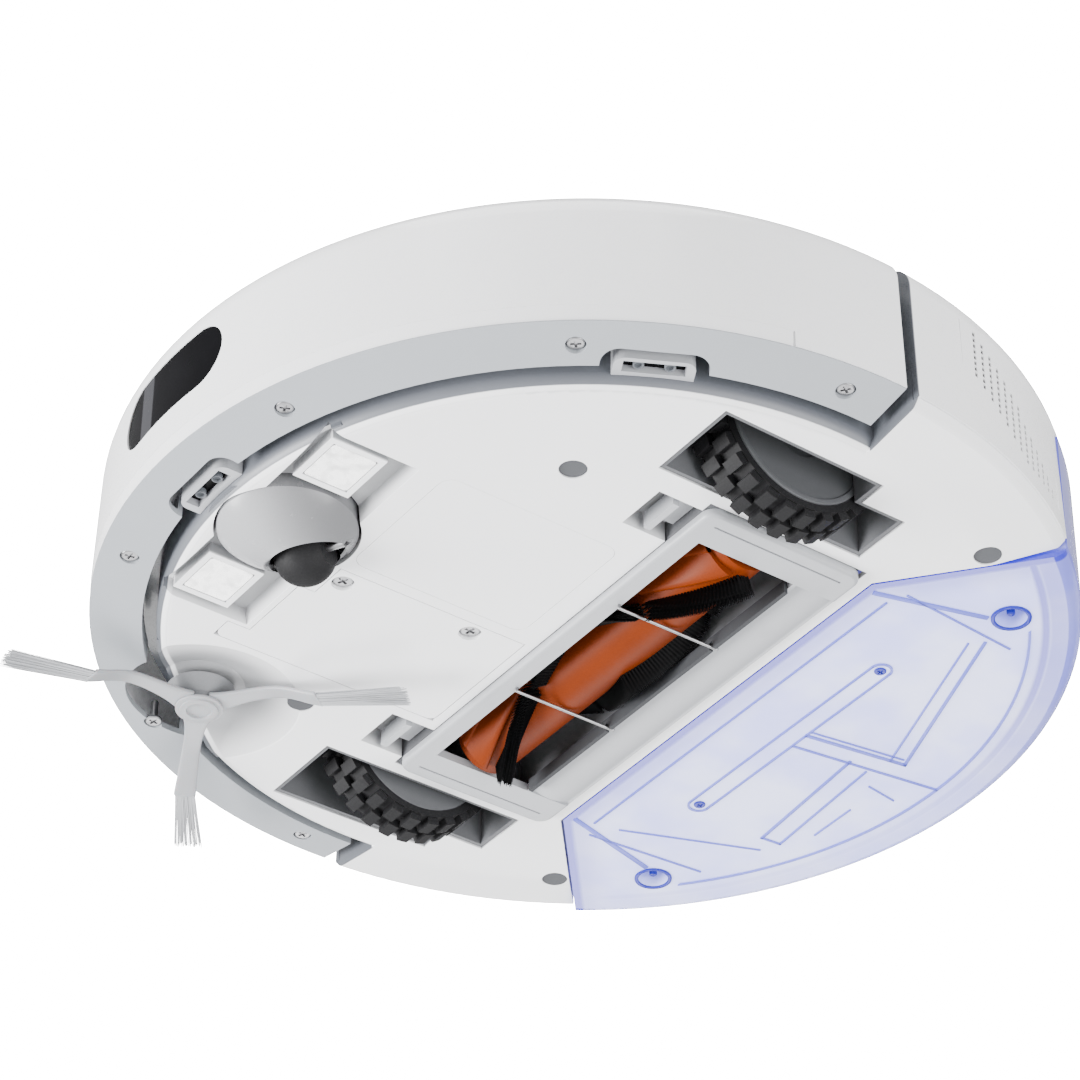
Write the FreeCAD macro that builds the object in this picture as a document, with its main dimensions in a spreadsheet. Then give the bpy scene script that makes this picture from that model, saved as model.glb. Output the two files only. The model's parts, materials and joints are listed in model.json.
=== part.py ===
"""Robot vacuum cleaner: a round floor robot with a sprung bumper, sprung drive wheels, a swivel
caster, a three-arm side brush, a bristle roller under a clip-off guard, a rear water and dust box
that slides out, and a scanning turret on top.

Millimetres. +Z is up, the floor is Z 0, the robot drives towards -Y, and the origin is on the
floor under the middle of the round body.
"""

import FreeCAD, Part
import Sketcher
import math
import os
import re

Vector = FreeCAD.Vector
Rotation = FreeCAD.Rotation
Placement = FreeCAD.Placement

doc = FreeCAD.newDocument("robot_vacuum")
sheet = doc.addObject("Spreadsheet::Sheet", "dims")

# Driving dimensions. Every other size follows from these.
DIMENSIONS = {
    "body_radius": 175.0,
    "underside": 13.0,
    "skin": 2.2,
    "deck_height": 79.3,
    "deck_radius": 159.0,
    "platform_radius": 151.0,
    "platform_round": 5.0,
    "rear_edge_radius": 174.2,
    "shell_foot": 19.4,
    "rim_round": 12.0,
    "split_front": 3.0,
    "split_rear": 8.0,
    "ring_inner_radius": 156.0,
    "ring_inner_height": 16.5,
    "ring_outer_height": 19.7,
    "screw_circle": 164.5,
    "strip_height": 6.8,
    "pill_length": 62.0,
    "pill_height": 25.0,
    "pill_centre": 52.3,
    "well_inner": 101.0,
    "well_outer": 138.0,
    "well_notch": 125.6,
    "well_front": -43.0,
    "well_step": 24.0,
    "well_rear": 42.5,
    "wheel_radius": 34.0,
    "wheel_inner": 106.0,
    "wheel_width": 16.5,
    "pivot_back": -33.0,
    "pivot_height": 44.0,
    "guard_half": 95.2,
    "guard_front": -16.5,
    "guard_rear": 49.6,
    "guard_drop": 3.0,
    "mouth_half": 79.0,
    "mouth_front": -9.5,
    "mouth_rear": 31.0,
    "roller_back": 10.75,
    "roller_height": 22.0,
    "roller_core": 12.5,
    "roller_tip": 20.5,
    "tank_front": 55.7,
    "tank_shoulder": 91.6,
    "tank_top": 64.6,
    "tank_skin": 2.0,
    "socket_reach": 104.5,
    "socket_back": 107.5,
    "socket_radius": 5.6,
    "caster_back": -124.0,
    "caster_well": 25.2,
    "caster_wheel": 11.0,
    "caster_trail": 12.0,
    "caster_turn": 27.0,
    "sweeper_side": -104.7,
    "sweeper_back": -95.0,
    "sweeper_reach": 80.0,
    "sweeper_turn": 4.7,
    "plug_radius": 4.8,
    "turret_back": 36.0,
    "turret_radius": 47.0,
    "turret_top": 94.5,
    "button_back": -116.0,
    "button_radius": 7.0,
}
for row, (alias, size) in enumerate(DIMENSIONS.items(), start=1):
    sheet.set("A%d" % row, alias)
    sheet.set("B%d" % row, str(size))
    sheet.setAlias("B%d" % row, alias)
doc.recompute()

SIDES = {"left": 1, "right": -1}
NODES = []


def size(alias):
    """A driving dimension's value, read back from the sheet."""
    return float(getattr(sheet, alias))


def expression(text):
    """Prefixes the sheet's name to each alias in an expression."""
    return re.sub(r"[a-z]\w*", lambda m: "dims." + m.group(0) if m.group(0) in DIMENSIONS else m.group(0), str(text))


def bind(obj, **properties):
    """Binds properties to expressions over the sheet; double underscores stand for dots."""
    for name, text in properties.items():
        obj.setExpression(name.replace("__", "."), expression(text))
    return obj


def place(obj, x, y, z, rotation=None):
    """Puts an object at bound coordinates, turned by a fixed rotation."""
    if rotation is not None:
        obj.Placement = Placement(Vector(), rotation)
    return bind(obj, Placement__Base__x=x, Placement__Base__y=y, Placement__Base__z=z)


def box(name, x, y, z, dx, dy, dz):
    """A box from its low corner and its sizes."""
    obj = bind(doc.addObject("Part::Box", name), Length=dx, Width=dy, Height=dz)
    return place(obj, x, y, z)


ALONG = {
    "z": Rotation(),
    "x": Rotation(Vector(0, 1, 0), 90),
    "y": Rotation(Vector(1, 0, 0), -90),
}


def cylinder(name, radius, height, x, y, z, along="z"):
    """A cylinder from the middle of its first end."""
    obj = bind(doc.addObject("Part::Cylinder", name), Radius=radius, Height=height)
    return place(obj, x, y, z, ALONG[along])


def cone(name, low, high, height, x, y, z, along="z"):
    """A cone from the middle of its first end."""
    obj = bind(doc.addObject("Part::Cone", name), Radius1=low, Radius2=high, Height=height)
    return place(obj, x, y, z, ALONG[along])


def sphere(name, radius, x, y, z):
    """A ball about its middle."""
    return place(bind(doc.addObject("Part::Sphere", name), Radius=radius), x, y, z)


def cut(name, base, *tools):
    """What is left of base once every tool is taken away."""
    obj = doc.addObject("Part::Cut", name)
    obj.Base = base
    obj.Tool = tools[0] if len(tools) == 1 else fuse(name + "_tools", *tools)
    return obj


def fuse(name, *parts):
    """Several shapes as one."""
    obj = doc.addObject("Part::MultiFuse", name)
    obj.Shapes = list(parts)
    return obj


def common(name, *parts):
    """What several shapes share."""
    obj = doc.addObject("Part::MultiCommon", name)
    obj.Shapes = list(parts)
    return obj


def round_edges(name, base, radius, chosen):
    """Rounds the edges that chosen picks."""
    doc.recompute()
    obj = doc.addObject("Part::Fillet", name)
    obj.Base = base
    picked = [i for i, edge in enumerate(base.Shape.Edges, start=1) if chosen(edge)]
    obj.Edges = [(i, radius, radius) for i in picked]
    return obj


def feature(name, shape):
    """A solid that the primitives don't reach, from Part's own functions."""
    obj = doc.addObject("Part::Feature", name)
    obj.Shape = shape
    return obj


def group(shapes):
    """Several separate solids as one shape."""
    return Part.makeCompound(shapes)


def outline(body, name, plane, corners):
    """A closed sketch whose corners are bound to expressions."""
    sketch = body.newObject("Sketcher::SketchObject", name)
    support = [f for f in body.Origin.OriginFeatures if f.Role == plane][0]
    sketch.AttachmentSupport = (support, [""])
    sketch.MapMode = "FlatFace"
    spots = [(corner_value(u), corner_value(v)) for u, v in corners]
    count = len(spots)
    for i in range(count):
        a, b = spots[i], spots[(i + 1) % count]
        sketch.addGeometry(Part.LineSegment(Vector(a[0], a[1], 0), Vector(b[0], b[1], 0)), False)
    for i in range(count):
        sketch.addConstraint(Sketcher.Constraint("Coincident", i, 2, (i + 1) % count, 1))
    for i, (u, v) in enumerate(corners):
        for kind, text, value in (("DistanceX", u, spots[i][0]), ("DistanceY", v, spots[i][1])):
            index = sketch.addConstraint(Sketcher.Constraint(kind, -1, 1, i, 1, value))
            if isinstance(text, str):
                sketch.renameConstraint(index, "%s%d" % (kind[-1].lower(), i))
                sketch.setExpression("Constraints.%s%d" % (kind[-1].lower(), i), expression(text))
    return sketch


SUM = re.compile(r"([+-]?)\s*([a-z]\w*|[0-9.]+)(?:\s*([*/])\s*([0-9.]+))?")


def corner_value(text):
    """The number that a sum of aliases and numbers comes to, for a sketch's first drawing."""
    if not isinstance(text, str):
        return float(text)
    total = 0.0
    for sign, term, sign_two, factor in SUM.findall(text):
        value = size(term) if term in DIMENSIONS else float(term)
        if sign_two == "*":
            value *= float(factor)
        elif sign_two == "/":
            value /= float(factor)
        total += -value if sign == "-" else value
    return total


def turned(name, corners, rounds=()):
    """A solid of revolution about Z from (radius, height) corners, with (radius, height, round) edges."""
    body = doc.addObject("PartDesign::Body", name)
    sketch = outline(body, name + "_profile", "XZ_Plane", corners)
    spin = body.newObject("PartDesign::Revolution", name + "_spin")
    spin.Profile = sketch
    spin.ReferenceAxis = (sketch, ["V_Axis"])
    spin.Angle = 360
    sketch.Visibility = False
    for number, (radius, height, rounding) in enumerate(rounds):
        doc.recompute()
        edges = [
            "Edge%d" % i
            for i, edge in enumerate(body.Shape.Edges, start=1)
            if hasattr(edge.Curve, "Radius")
            and abs(edge.Curve.Radius - corner_value(radius)) < 0.01
            and abs(edge.BoundBox.ZMin - corner_value(height)) < 0.01
            and edge.BoundBox.ZLength < 0.01
        ]
        last = body.Tip
        fillet = body.newObject("PartDesign::Fillet", "%s_round%d" % (name, number))
        fillet.Base = (last, edges)
        bind(fillet, Radius=rounding)
        body.Tip = fillet
    return body


def slab(name, corners, low, thick):
    """A flat plate of (x, y) corners, padded up from height low."""
    body = doc.addObject("PartDesign::Body", name)
    sketch = outline(body, name + "_outline", "XY_Plane", corners)
    pad = body.newObject("PartDesign::Pad", name + "_pad")
    pad.Profile = sketch
    bind(pad, Length=thick)
    sketch.Visibility = False
    bind(body, Placement__Base__z=low)
    return body


def frustum(name, low_box, high_box, low, high):
    """A tapered block between two rectangles (x0, x1, y0, y1) at two heights."""
    obj = doc.addObject("Part::Wedge", name)
    obj.Placement = Placement(Vector(), Rotation(Vector(1, 0, 0), 90))
    x0, x1, y0, y1 = low_box
    u0, u1, v0, v1 = high_box
    return bind(
        obj,
        Xmin=x0,
        Xmax=x1,
        Zmin="-(%s)" % y1,
        Zmax="-(%s)" % y0,
        X2min=u0,
        X2max=u1,
        Z2min="-(%s)" % v1,
        Z2max="-(%s)" % v0,
        Ymin=low,
        Ymax=high,
    )


def mirrored(corners, side):
    """Corners on one side of the robot, negated in x for the right one."""
    if side > 0:
        return corners
    return [("-1 * (%s)" % x if isinstance(x, str) and not x.isidentifier() else negated(x), y) for x, y in corners]


def negated(x):
    """The same distance on the other side."""
    return "-" + x if isinstance(x, str) else -x


def node(obj, label):
    """Names a finished sub-part and keeps it for export."""
    obj.Label = label
    NODES.append((label, obj))
    return obj


def vertical(edge):
    """Whether an edge runs straight up."""
    span = edge.BoundBox
    return span.XLength < 0.01 and span.YLength < 0.01 and span.ZLength > 0.2


def polar(radius, degrees, height=0.0):
    """A point at a radius and an angle from the front, towards +X."""
    turn = math.radians(degrees)
    return Vector(radius * math.sin(turn), -radius * math.cos(turn), height)


def facing(degrees):
    """The rotation that carries the front (-Y) to an angle from the front, towards +X."""
    return Rotation(Vector(0, 0, 1), degrees)


HUGE = 400.0
FRONT_HALF = ("-200", "-200", "-10", "400", "200 + split_front", "200")
REAR_HALF = ("-200", "split_rear", "-10", "400", "200", "200")


# ---------------------------------------------------------------- outlines that several parts use
def well_corners(side, gap=0.0):
    """The wheel well's opening, grown by gap."""
    corners = [
        ("well_inner - %s" % gap, "well_front - %s" % gap),
        ("well_outer + %s" % gap, "well_front - %s" % gap),
        ("well_outer - 1 + %s" % gap, "well_step + %s" % gap),
        ("well_notch + %s" % gap, "well_step + %s" % gap),
        ("well_notch + %s" % gap, "well_rear + %s" % gap),
        ("well_inner - %s" % gap, "well_rear + %s" % gap),
    ]
    if side < 0:
        flipped = []
        for x, y in corners:
            x = x.replace(" + ", " ~ ").replace(" - ", " + ").replace(" ~ ", " - ")
            flipped.append(("-" + x, y))
        corners = flipped[::-1]
    return corners


def tank_corners(gap=0.0):
    """The rear box's plan, open at the back where the round wall cuts it, grown by gap."""
    reach, run = 150.0, 48.6
    return [
        ("-tank_shoulder - %s" % gap, "tank_front - %s" % gap),
        ("tank_shoulder + %s" % gap, "tank_front - %s" % gap),
        ("%s" % (reach + 1.3 * gap), "tank_front + %s" % (run - 0.4 * gap)),
        ("%s" % (reach + 1.3 * gap), "200"),
        ("-%s" % (reach + 1.3 * gap), "200"),
        ("-%s" % (reach + 1.3 * gap), "tank_front + %s" % (run - 0.4 * gap)),
    ]


PLUGS = [(127.2, 77.4), (-127.2, 77.4), (83.9, -65.3), (-83.9, -65.3)]
SCREW_ANGLES = (-85.2, -53.2, -17.6, 17.6, 53.2, 85.2)
SENSOR_ANGLES = {"front": 0.0, "left": 62.5}
DOOR = [(-65, -113), (-56, -113), (-56, -104), (-24, -104), (-24, -97.5), (-7.5, -97.5), (-7.5, -21), (-65, -21)]
DOOR_GAP = [
    (-65.4, -113.4),
    (-55.6, -113.4),
    (-55.6, -104.4),
    (-23.6, -104.4),
    (-23.6, -97.9),
    (-7.1, -97.9),
    (-7.1, -20.6),
    (-65.4, -20.6),
]
POSTS = [(70, -125), (-60, -118), (70.5, -28), (-70.5, -28)]
DOOR_SCREWS = [(-14.0, -92.6), (-12.8, -40.4)]
WIRES = (-26.95, 34.65)
CONTACT = (28.9, 47.9, -136.2, -119.2)


# ---------------------------------------------------------------- chassis
def bottom_chassis():
    """The lower shell: a raised platform in front, a wider curved floor behind, and its openings."""
    front = turned(
        "platform",
        [(0, "underside"), ("platform_radius", "underside"), ("platform_radius", "underside + 20"), (0, "underside + 20")],
        [("platform_radius", "underside", "platform_round")],
    )
    front_hollow = turned(
        "platform_hollow",
        [
            (0, "underside + skin"),
            ("platform_radius - skin", "underside + skin"),
            ("platform_radius - skin", "underside + 21"),
            (0, "underside + 21"),
        ],
        [("platform_radius - skin", "underside + skin", 3)],
    )
    rear = turned(
        "rear_floor",
        [
            (0, "underside"),
            ("rear_edge_radius - 25", "underside"),
            ("rear_edge_radius - 2.5", "underside + 3.2"),
            ("rear_edge_radius", "underside + 6"),
            ("rear_edge_radius", "shell_foot - 0.2"),
            ("body_radius - 3", "shell_foot - 0.2"),
            ("body_radius - 3", "underside + 20"),
            (0, "underside + 20"),
        ],
        [("rear_edge_radius - 25", "underside", 40), ("rear_edge_radius - 2.5", "underside + 3.2", 3)],
    )
    rear_hollow = turned(
        "rear_hollow",
        [
            (0, "underside + skin"),
            ("rear_edge_radius - 26", "underside + skin"),
            ("rear_edge_radius - 5", "underside + 5.4"),
            ("body_radius - 5.2", "underside + 7.5"),
            ("body_radius - 5.2", "underside + 21"),
            (0, "underside + 21"),
        ],
    )
    rear_outer = common("rear_outer", rear, box("behind_split", *REAR_HALF))
    rear_inner = common(
        "rear_inner", rear_hollow, box("behind_wall", "-200", "split_rear + skin", "-10", "400", "200", "200")
    )
    filled = fuse("floor_filled", front, rear_outer)
    shell = cut("floor_shell", filled, front_hollow, rear_inner)
    bosses = [
        cylinder("sweeper_boss", 38, 12, "sweeper_side", "sweeper_back", "underside"),
        box("contact_boss", -57, -142, "underside", 114, 37.5, 8),
        cylinder("caster_tube", "caster_well + skin", 22, 0, "caster_back", "underside + 0.5"),
    ]
    bosses += [
        box("latch_boss_" + name, 80.5 * side - 13, -37.5, "underside", 26, 20.5, 10.5) for name, side in SIDES.items()
    ]
    bosses += [cylinder("plug_boss%d" % i, 7.5, 8, x, y, "underside") for i, (x, y) in enumerate(PLUGS)]
    core = fuse("filled_and_core", filled, cylinder("core", 150.8, 45, 0, 0, 15))
    solid_part = common("boss_trim", fuse("bosses", *bosses), core)
    posts = [cylinder("post%d" % i, 4, "deck_height - 2.7 - underside - 1", x, y, "underside + 1") for i, (x, y) in enumerate(POSTS)]
    whole = fuse("floor_with_bosses", shell, solid_part, *posts)
    tools = [
        cone("sweeper_dish", 36.5, 16, 7.5, "sweeper_side", "sweeper_back", "underside - 0.01"),
        cylinder("sweeper_hole", 6, 30, "sweeper_side", "sweeper_back", "underside"),
        frustum(
            "contact_pocket",
            (-54, 54, -143, -106.5),
            (-52.5, 52.5, -141.5, -108.5),
            "underside - 0.01",
            "underside + 5.5",
        ),
        cylinder("caster_bore", "caster_well", 21.5, 0, "caster_back", "underside - 1"),
        cylinder("caster_stem_hole", 4.25, 40, 0, "caster_back", "underside"),
        box("guard_opening", "-guard_half - 0.5", "guard_front - 0.5", 0, "2 * guard_half + 1", "guard_rear - guard_front + 1", 60),
        slab("tank_opening", tank_corners(0.5), 0, 90),
        round_edges("label_recess", box("label_cut", -2.2, -97.2, 0, 58.9, 71.4, "underside + 0.4"), 5.2, vertical),
        slab("door_opening", DOOR_GAP, 0, 30),
    ]
    for name, side in SIDES.items():
        tools.append(slab("well_opening_" + name, well_corners(side), 0, 60))
        tools.append(box("latch_pocket_" + name, 80.5 * side - 10.5, -35, 0, 21, 25, "underside + 8"))
    tools += [cylinder("plug_hole%d" % i, "plug_radius + 0.1", "underside + 2", x, y, 0) for i, (x, y) in enumerate(PLUGS)]
    return node(cut("bottom_chassis", whole, *tools), "bottom_chassis")


def mid_shell():
    """The upright body: an inner wall behind the bumper, the round rear wall and the box bay."""
    front_wall = turned(
        "front_wall",
        [
            ("platform_radius - skin", "underside + 20.2"),
            ("deck_radius", "underside + 20.2"),
            ("deck_radius", "deck_height - 2.5"),
            ("deck_radius - skin", "deck_height - 2.5"),
            ("deck_radius - skin", "underside + 22.4"),
            ("platform_radius - skin", "underside + 22.4"),
        ],
    )
    front = common("front_wall_half", front_wall, box("front_of_split", "-200", "-200", 0, "400", "200 + split_rear", "200"))
    profile = [
        ("body_radius - 0.2", "shell_foot"),
        ("body_radius - 1.4", "deck_height"),
        ("deck_radius + 0.8", "deck_height"),
        ("deck_radius + 0.8", "deck_height - 2.4"),
        ("body_radius - 3.8", "deck_height - 2.4"),
        ("body_radius - 2.6", "shell_foot"),
    ]
    rear_wall = turned(
        "rear_wall",
        profile,
        [("body_radius - 1.4", "deck_height", "rim_round"), ("body_radius - 3.8", "deck_height - 2.4", "rim_round - 2.4")],
    )
    filled = turned(
        "rear_filled",
        [(0, "shell_foot"), ("body_radius - 0.2", "shell_foot"), ("body_radius - 1.4", "deck_height"), (0, "deck_height")],
        [("body_radius - 1.4", "deck_height", "rim_round")],
    )
    rear = common("rear_wall_half", rear_wall, box("rear_of_split", *REAR_HALF))
    tall = "deck_height - 2.5 - underside - 20.2"
    ends = common(
        "end_walls",
        filled,
        fuse(
            "end_plates",
            box("end_plate_left", "deck_radius - skin", "split_rear", "underside + 20.2", 30, "skin", tall),
            box("end_plate_right", "-deck_radius - 30 + skin", "split_rear", "underside + 20.2", 30, "skin", tall),
        ),
    )
    ceiling = common("bay_ceiling", slab("ceiling_plate", tank_corners(1.0), "tank_top + 1", 1.6), filled)
    bay = cut(
        "bay_walls",
        common("bay_block", slab("bay_outer", tank_corners(2.2), "shell_foot + 14", "tank_top - shell_foot - 13"), filled),
        slab("bay_hollow", tank_corners(0.7), 0, 90),
        box("bay_duct", -30, 40, 40, 60, 20, 15),
    )
    whole = fuse("body_union", front, rear, ends, ceiling, bay)
    tools = [
        slab("rear_door", tank_corners(0.7), 0, "tank_top + 0.9"),
        grille_block("grille_opening", 0.06),
        cylinder("caster_notch", "caster_well + skin + 0.1", 36, 0, "caster_back", 0),
    ]
    return node(cut("mid_shell", whole, *tools), "mid_shell")


GRILLE = {"first": 100.5, "last": 128.0, "low": 27.0, "high": 66.0}


def grille_block(name, gap):
    """The space of the exhaust grille in the left rear wall, grown by gap."""
    inner = size("body_radius") - 12
    wide = math.degrees(gap / size("body_radius"))
    block = Part.makeCylinder(
        size("body_radius") + 2,
        GRILLE["high"] - GRILLE["low"] + 2 * gap,
        Vector(0, 0, GRILLE["low"] - gap),
        Vector(0, 0, 1),
        22.0 + 2 * wide,
    ).cut(Part.makeCylinder(inner, 100))
    block.rotate(Vector(), Vector(0, 0, 1), -90 + GRILLE["first"] - wide)
    return feature(name, block)


def exhaust_grille():
    """A curved insert with rows of short slots, where the fan blows out."""
    low_radius, high_radius = size("body_radius") - 2.4, size("body_radius") - 0.75
    height = GRILLE["high"] - GRILLE["low"]
    panel = Part.makeCylinder(high_radius, height, Vector(0, 0, GRILLE["low"]), Vector(0, 0, 1), 22.0)
    panel = panel.cut(Part.makeCylinder(low_radius, 100))
    panel.rotate(Vector(), Vector(0, 0, 1), -90 + GRILLE["first"])
    rows, columns, step_up, step_round = 15, 7, 2.5, 1.45
    slots = []
    for row in range(rows):
        for column in range(columns):
            turn = GRILLE["first"] + 2.4 + step_round * column + max(0, row - 7) * step_round
            height_here = GRILLE["high"] - 3.4 - row * step_up
            if column > row or turn > GRILLE["first"] + 20.4:
                continue
            slot = Part.makeBox(1.35, 8, 1.9, Vector(-0.675, -4, height_here))
            slot.Placement = Placement(polar(size("body_radius"), turn), facing(turn)).multiply(slot.Placement)
            slots.append(slot)
    return node(feature("exhaust_grille", panel.cut(Part.makeCompound(slots))), "exhaust_grille")


def top_cover():
    """The round deck, slightly crowned, with openings for the turret and two buttons."""
    deck = turned(
        "deck",
        [
            (0, "deck_height + 1"),
            ("deck_radius / 1.3", "deck_height + 0.7"),
            ("deck_radius", "deck_height - 0.3"),
            ("deck_radius", "deck_height - 2.4"),
            (0, "deck_height - 1.6"),
        ],
        [("deck_radius", "deck_height - 0.3", 0.8)],
    )
    holes = [cylinder("turret_hole", "turret_radius + 0.4", 30, 0, "turret_back", 60)]
    holes += [cylinder("button_hole%d" % i, "button_radius + 0.3", 30, x, "button_back", 60) for i, x in enumerate((-12, 12))]
    return node(cut("top_cover", deck, *holes), "top_cover")


def small_covers():
    """The battery door, its screws, the blank label plate and the rubber screw plugs."""
    door = slab("door_plate", DOOR, "underside", "skin")
    rounded = round_edges("door_rounded", door, 3, lambda e: vertical(e) and e.BoundBox.XMax < -60)
    seats = [cylinder("door_seat%d" % i, 4.1, 5, x, y, "underside - 1") for i, (x, y) in enumerate(DOOR_SCREWS)]
    node(cut("battery_door", rounded, *seats), "battery_door")
    screws = [
        fuse(
            "door_screw%d" % i,
            cylinder("door_screw_head%d" % i, 3.6, 1.6, x, y, "underside + 1.0"),
            cylinder("door_screw_shank%d" % i, 1.4, 6, x, y, "underside + 2.5"),
        )
        for i, (x, y) in enumerate(DOOR_SCREWS)
    ]
    node(compound("battery_door_screws", screws), "battery_door_screws")
    plate = round_edges("label_rounded", box("label_blank", -2, -97, "underside + 0.05", 58.5, 71, 0.3), 5, vertical)
    node(plate, "label_plate")
    plugs = [cylinder("plug%d" % i, "plug_radius", 1.5, x, y, "underside + 0.5") for i, (x, y) in enumerate(PLUGS)]
    node(compound("screw_plugs", plugs), "screw_plugs")


def compound(name, parts):
    """Several separate objects as one group of solids."""
    obj = doc.addObject("Part::Compound", name)
    obj.Links = list(parts)
    return obj


def charge_contacts():
    """Two charging plates, each in a plastic bezel in the front pocket."""
    x0, x1, y0, y1 = CONTACT
    bezels, plates = [], []
    for name, side in SIDES.items():
        low = min(x0 * side, x1 * side)
        bezel = cut(
            "bezel_" + name,
            box("bezel_block_" + name, low - 2.6, y0 - 2.4, "underside + 0.9", x1 - x0 + 5.2, y1 - y0 + 4.8, 4.55),
            box("bezel_hole_" + name, low - 0.35, y0 - 0.35, "underside", x1 - x0 + 0.7, y1 - y0 + 0.7, 3),
        )
        bezels.append(bezel)
        plate = box("contact_" + name, low, y0, "underside + 1.1", x1 - x0, y1 - y0, 1.85)
        plates.append(round_edges("contact_round_" + name, plate, 1.2, vertical))
    node(compound("contact_bezels", bezels), "contact_bezels")
    node(compound("charge_contacts", plates), "charge_contacts")


def cliff_sensors():
    """The downward drop sensors that stand on the platform's edge inside notches in the ring."""
    reach = size("platform_radius")
    blocks, windows = [], []
    for angle in SENSOR_ANGLES.values():
        block = Part.makeBox(27, 9.5, 14.5, Vector(-13.5, -8.7 - reach, size("ring_inner_height") + 0.4))
        corners = [e for e in block.Edges if vertical(e) and e.BoundBox.YMax < -reach - 1]
        block = block.makeFillet(4.0, corners)
        block = block.cut(Part.makeBox(21, 5.2, 5, Vector(-10.5, -7 - reach, size("ring_inner_height") - 0.1)))
        block = block.cut(Part.makeCylinder(reach + 0.15, 60))
        window = Part.makeBox(20.6, 4.8, 1.6, Vector(-10.3, -6.8 - reach, size("ring_inner_height") + 3.1))
        for shape, kept in ((block, blocks), (window, windows)):
            shape.rotate(Vector(), Vector(0, 0, 1), angle)
            kept.append(shape)
    node(feature("cliff_sensors", group(blocks)), "cliff_sensors")
    node(feature("cliff_windows", group(windows)), "cliff_windows")


# ---------------------------------------------------------------- bumper
def bumper():
    """The sprung front bumper: shell, screwed-on ring, soft strip, dark window and screws."""
    wall = turned(
        "bumper_wall",
        [
            ("body_radius", "ring_outer_height + 0.4"),
            ("body_radius - 1.4", "deck_height"),
            ("deck_radius + 0.8", "deck_height"),
            ("deck_radius + 0.8", "deck_height - 2.3"),
            ("body_radius - 3.7", "deck_height - 2.3"),
            ("body_radius - 2.3", "ring_outer_height + 0.4"),
        ],
        [("body_radius - 1.4", "deck_height", "rim_round"), ("body_radius - 3.7", "deck_height - 2.3", "rim_round - 2.3")],
    )
    front = common("bumper_front", wall, box("bumper_side", *FRONT_HALF))
    pill = pill_prism("pill_hole", 0.0)
    step = Part.makeCylinder(
        size("body_radius") + 2, size("strip_height"), Vector(0, 0, size("ring_outer_height")), Vector(0, 0, 1), 154
    ).cut(Part.makeCylinder(size("body_radius") - 1.1, 60))
    step.rotate(Vector(), Vector(0, 0, 1), -90 - 77)
    travel = cylinder("bumper_travel", "deck_radius + 4.4", 100, 0, 0, 0)
    node(cut("bumper_shell", front, pill, travel, feature("strip_step", step)), "bumper_shell")

    strip = Part.makeCone(
        size("body_radius") - 0.75,
        size("body_radius") - 0.2,
        size("strip_height") - 0.5,
        Vector(0, 0, size("ring_outer_height") + 0.45),
        Vector(0, 0, 1),
        153.6,
    ).cut(Part.makeCylinder(size("body_radius") - 1.05, 60))
    strip.rotate(Vector(), Vector(0, 0, 1), -90 - 76.8)
    node(feature("bumper_strip", strip), "bumper_strip")

    glass = Part.makeCylinder(size("body_radius") - 1.3, 60, Vector(0, 0, 30))
    glass = glass.cut(Part.makeCylinder(size("body_radius") - 3.2, 200)).common(pill_shape(0.15))
    node(feature("sensor_window", glass), "sensor_window")

    ring = turned(
        "ring_profile",
        [
            ("ring_inner_radius", "ring_inner_height"),
            ("body_radius - 0.3", "ring_outer_height"),
            ("body_radius - 0.3", "ring_outer_height + 0.35"),
            ("body_radius - 2.5", "ring_outer_height + 0.35"),
            ("body_radius - 2.5", "ring_outer_height + 2"),
            ("ring_inner_radius + 1.8", "ring_inner_height + 2.6"),
            ("ring_inner_radius + 1.8", "ring_inner_height + 9"),
            ("ring_inner_radius", "ring_inner_height + 9"),
        ],
    )
    ring_front = common("ring_front", ring, box("ring_side", *FRONT_HALF))
    tools = [cylinder("sweeper_notch", 27, 60, "sweeper_side", "sweeper_back", 0)]
    for name, angle in SENSOR_ANGLES.items():
        notch = Part.makeBox(36, 16, 30, Vector(-18, -size("ring_inner_radius") - 7, 0))
        notch = notch.makeFillet(6.5, [e for e in notch.Edges if vertical(e) and e.BoundBox.YMax < -158])
        notch.rotate(Vector(), Vector(0, 0, 1), angle)
        tools.append(feature("notch_" + name, notch))
    seats, screws = [], []
    for i, angle in enumerate(SCREW_ANGLES):
        spot = polar(size("screw_circle"), angle)
        seats.append(cylinder("ring_seat%d" % i, 3.5, 40, spot.x, spot.y, 0))
        head = cylinder("ring_head%d" % i, 3.1, 1.4, spot.x, spot.y, 18.5)
        shank = cylinder("ring_shank%d" % i, 1.5, 9, spot.x, spot.y, 19.8)
        screws.append(fuse("ring_screw%d" % i, head, shank))
    node(cut("bumper_ring", ring_front, *(tools + seats)), "bumper_ring")
    node(compound("bumper_screws", screws), "bumper_screws")


def pill_shape(gap):
    """The window's rounded outline as a prism that runs forward, shrunk by gap."""
    radius = size("pill_height") / 2 - gap
    reach = size("pill_length") / 2 - size("pill_height") / 2
    middle = size("pill_centre")
    prism = Part.makeBox(2 * reach, 30, 2 * radius, Vector(-reach, -190, middle - radius))
    for x in (-reach, reach):
        prism = prism.fuse(Part.makeCylinder(radius, 30, Vector(x, -190, middle), Vector(0, 1, 0)))
    return prism.removeSplitter()


def pill_prism(name, gap):
    """The window's outline as a cutting tool."""
    return feature(name, pill_shape(gap))


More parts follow.
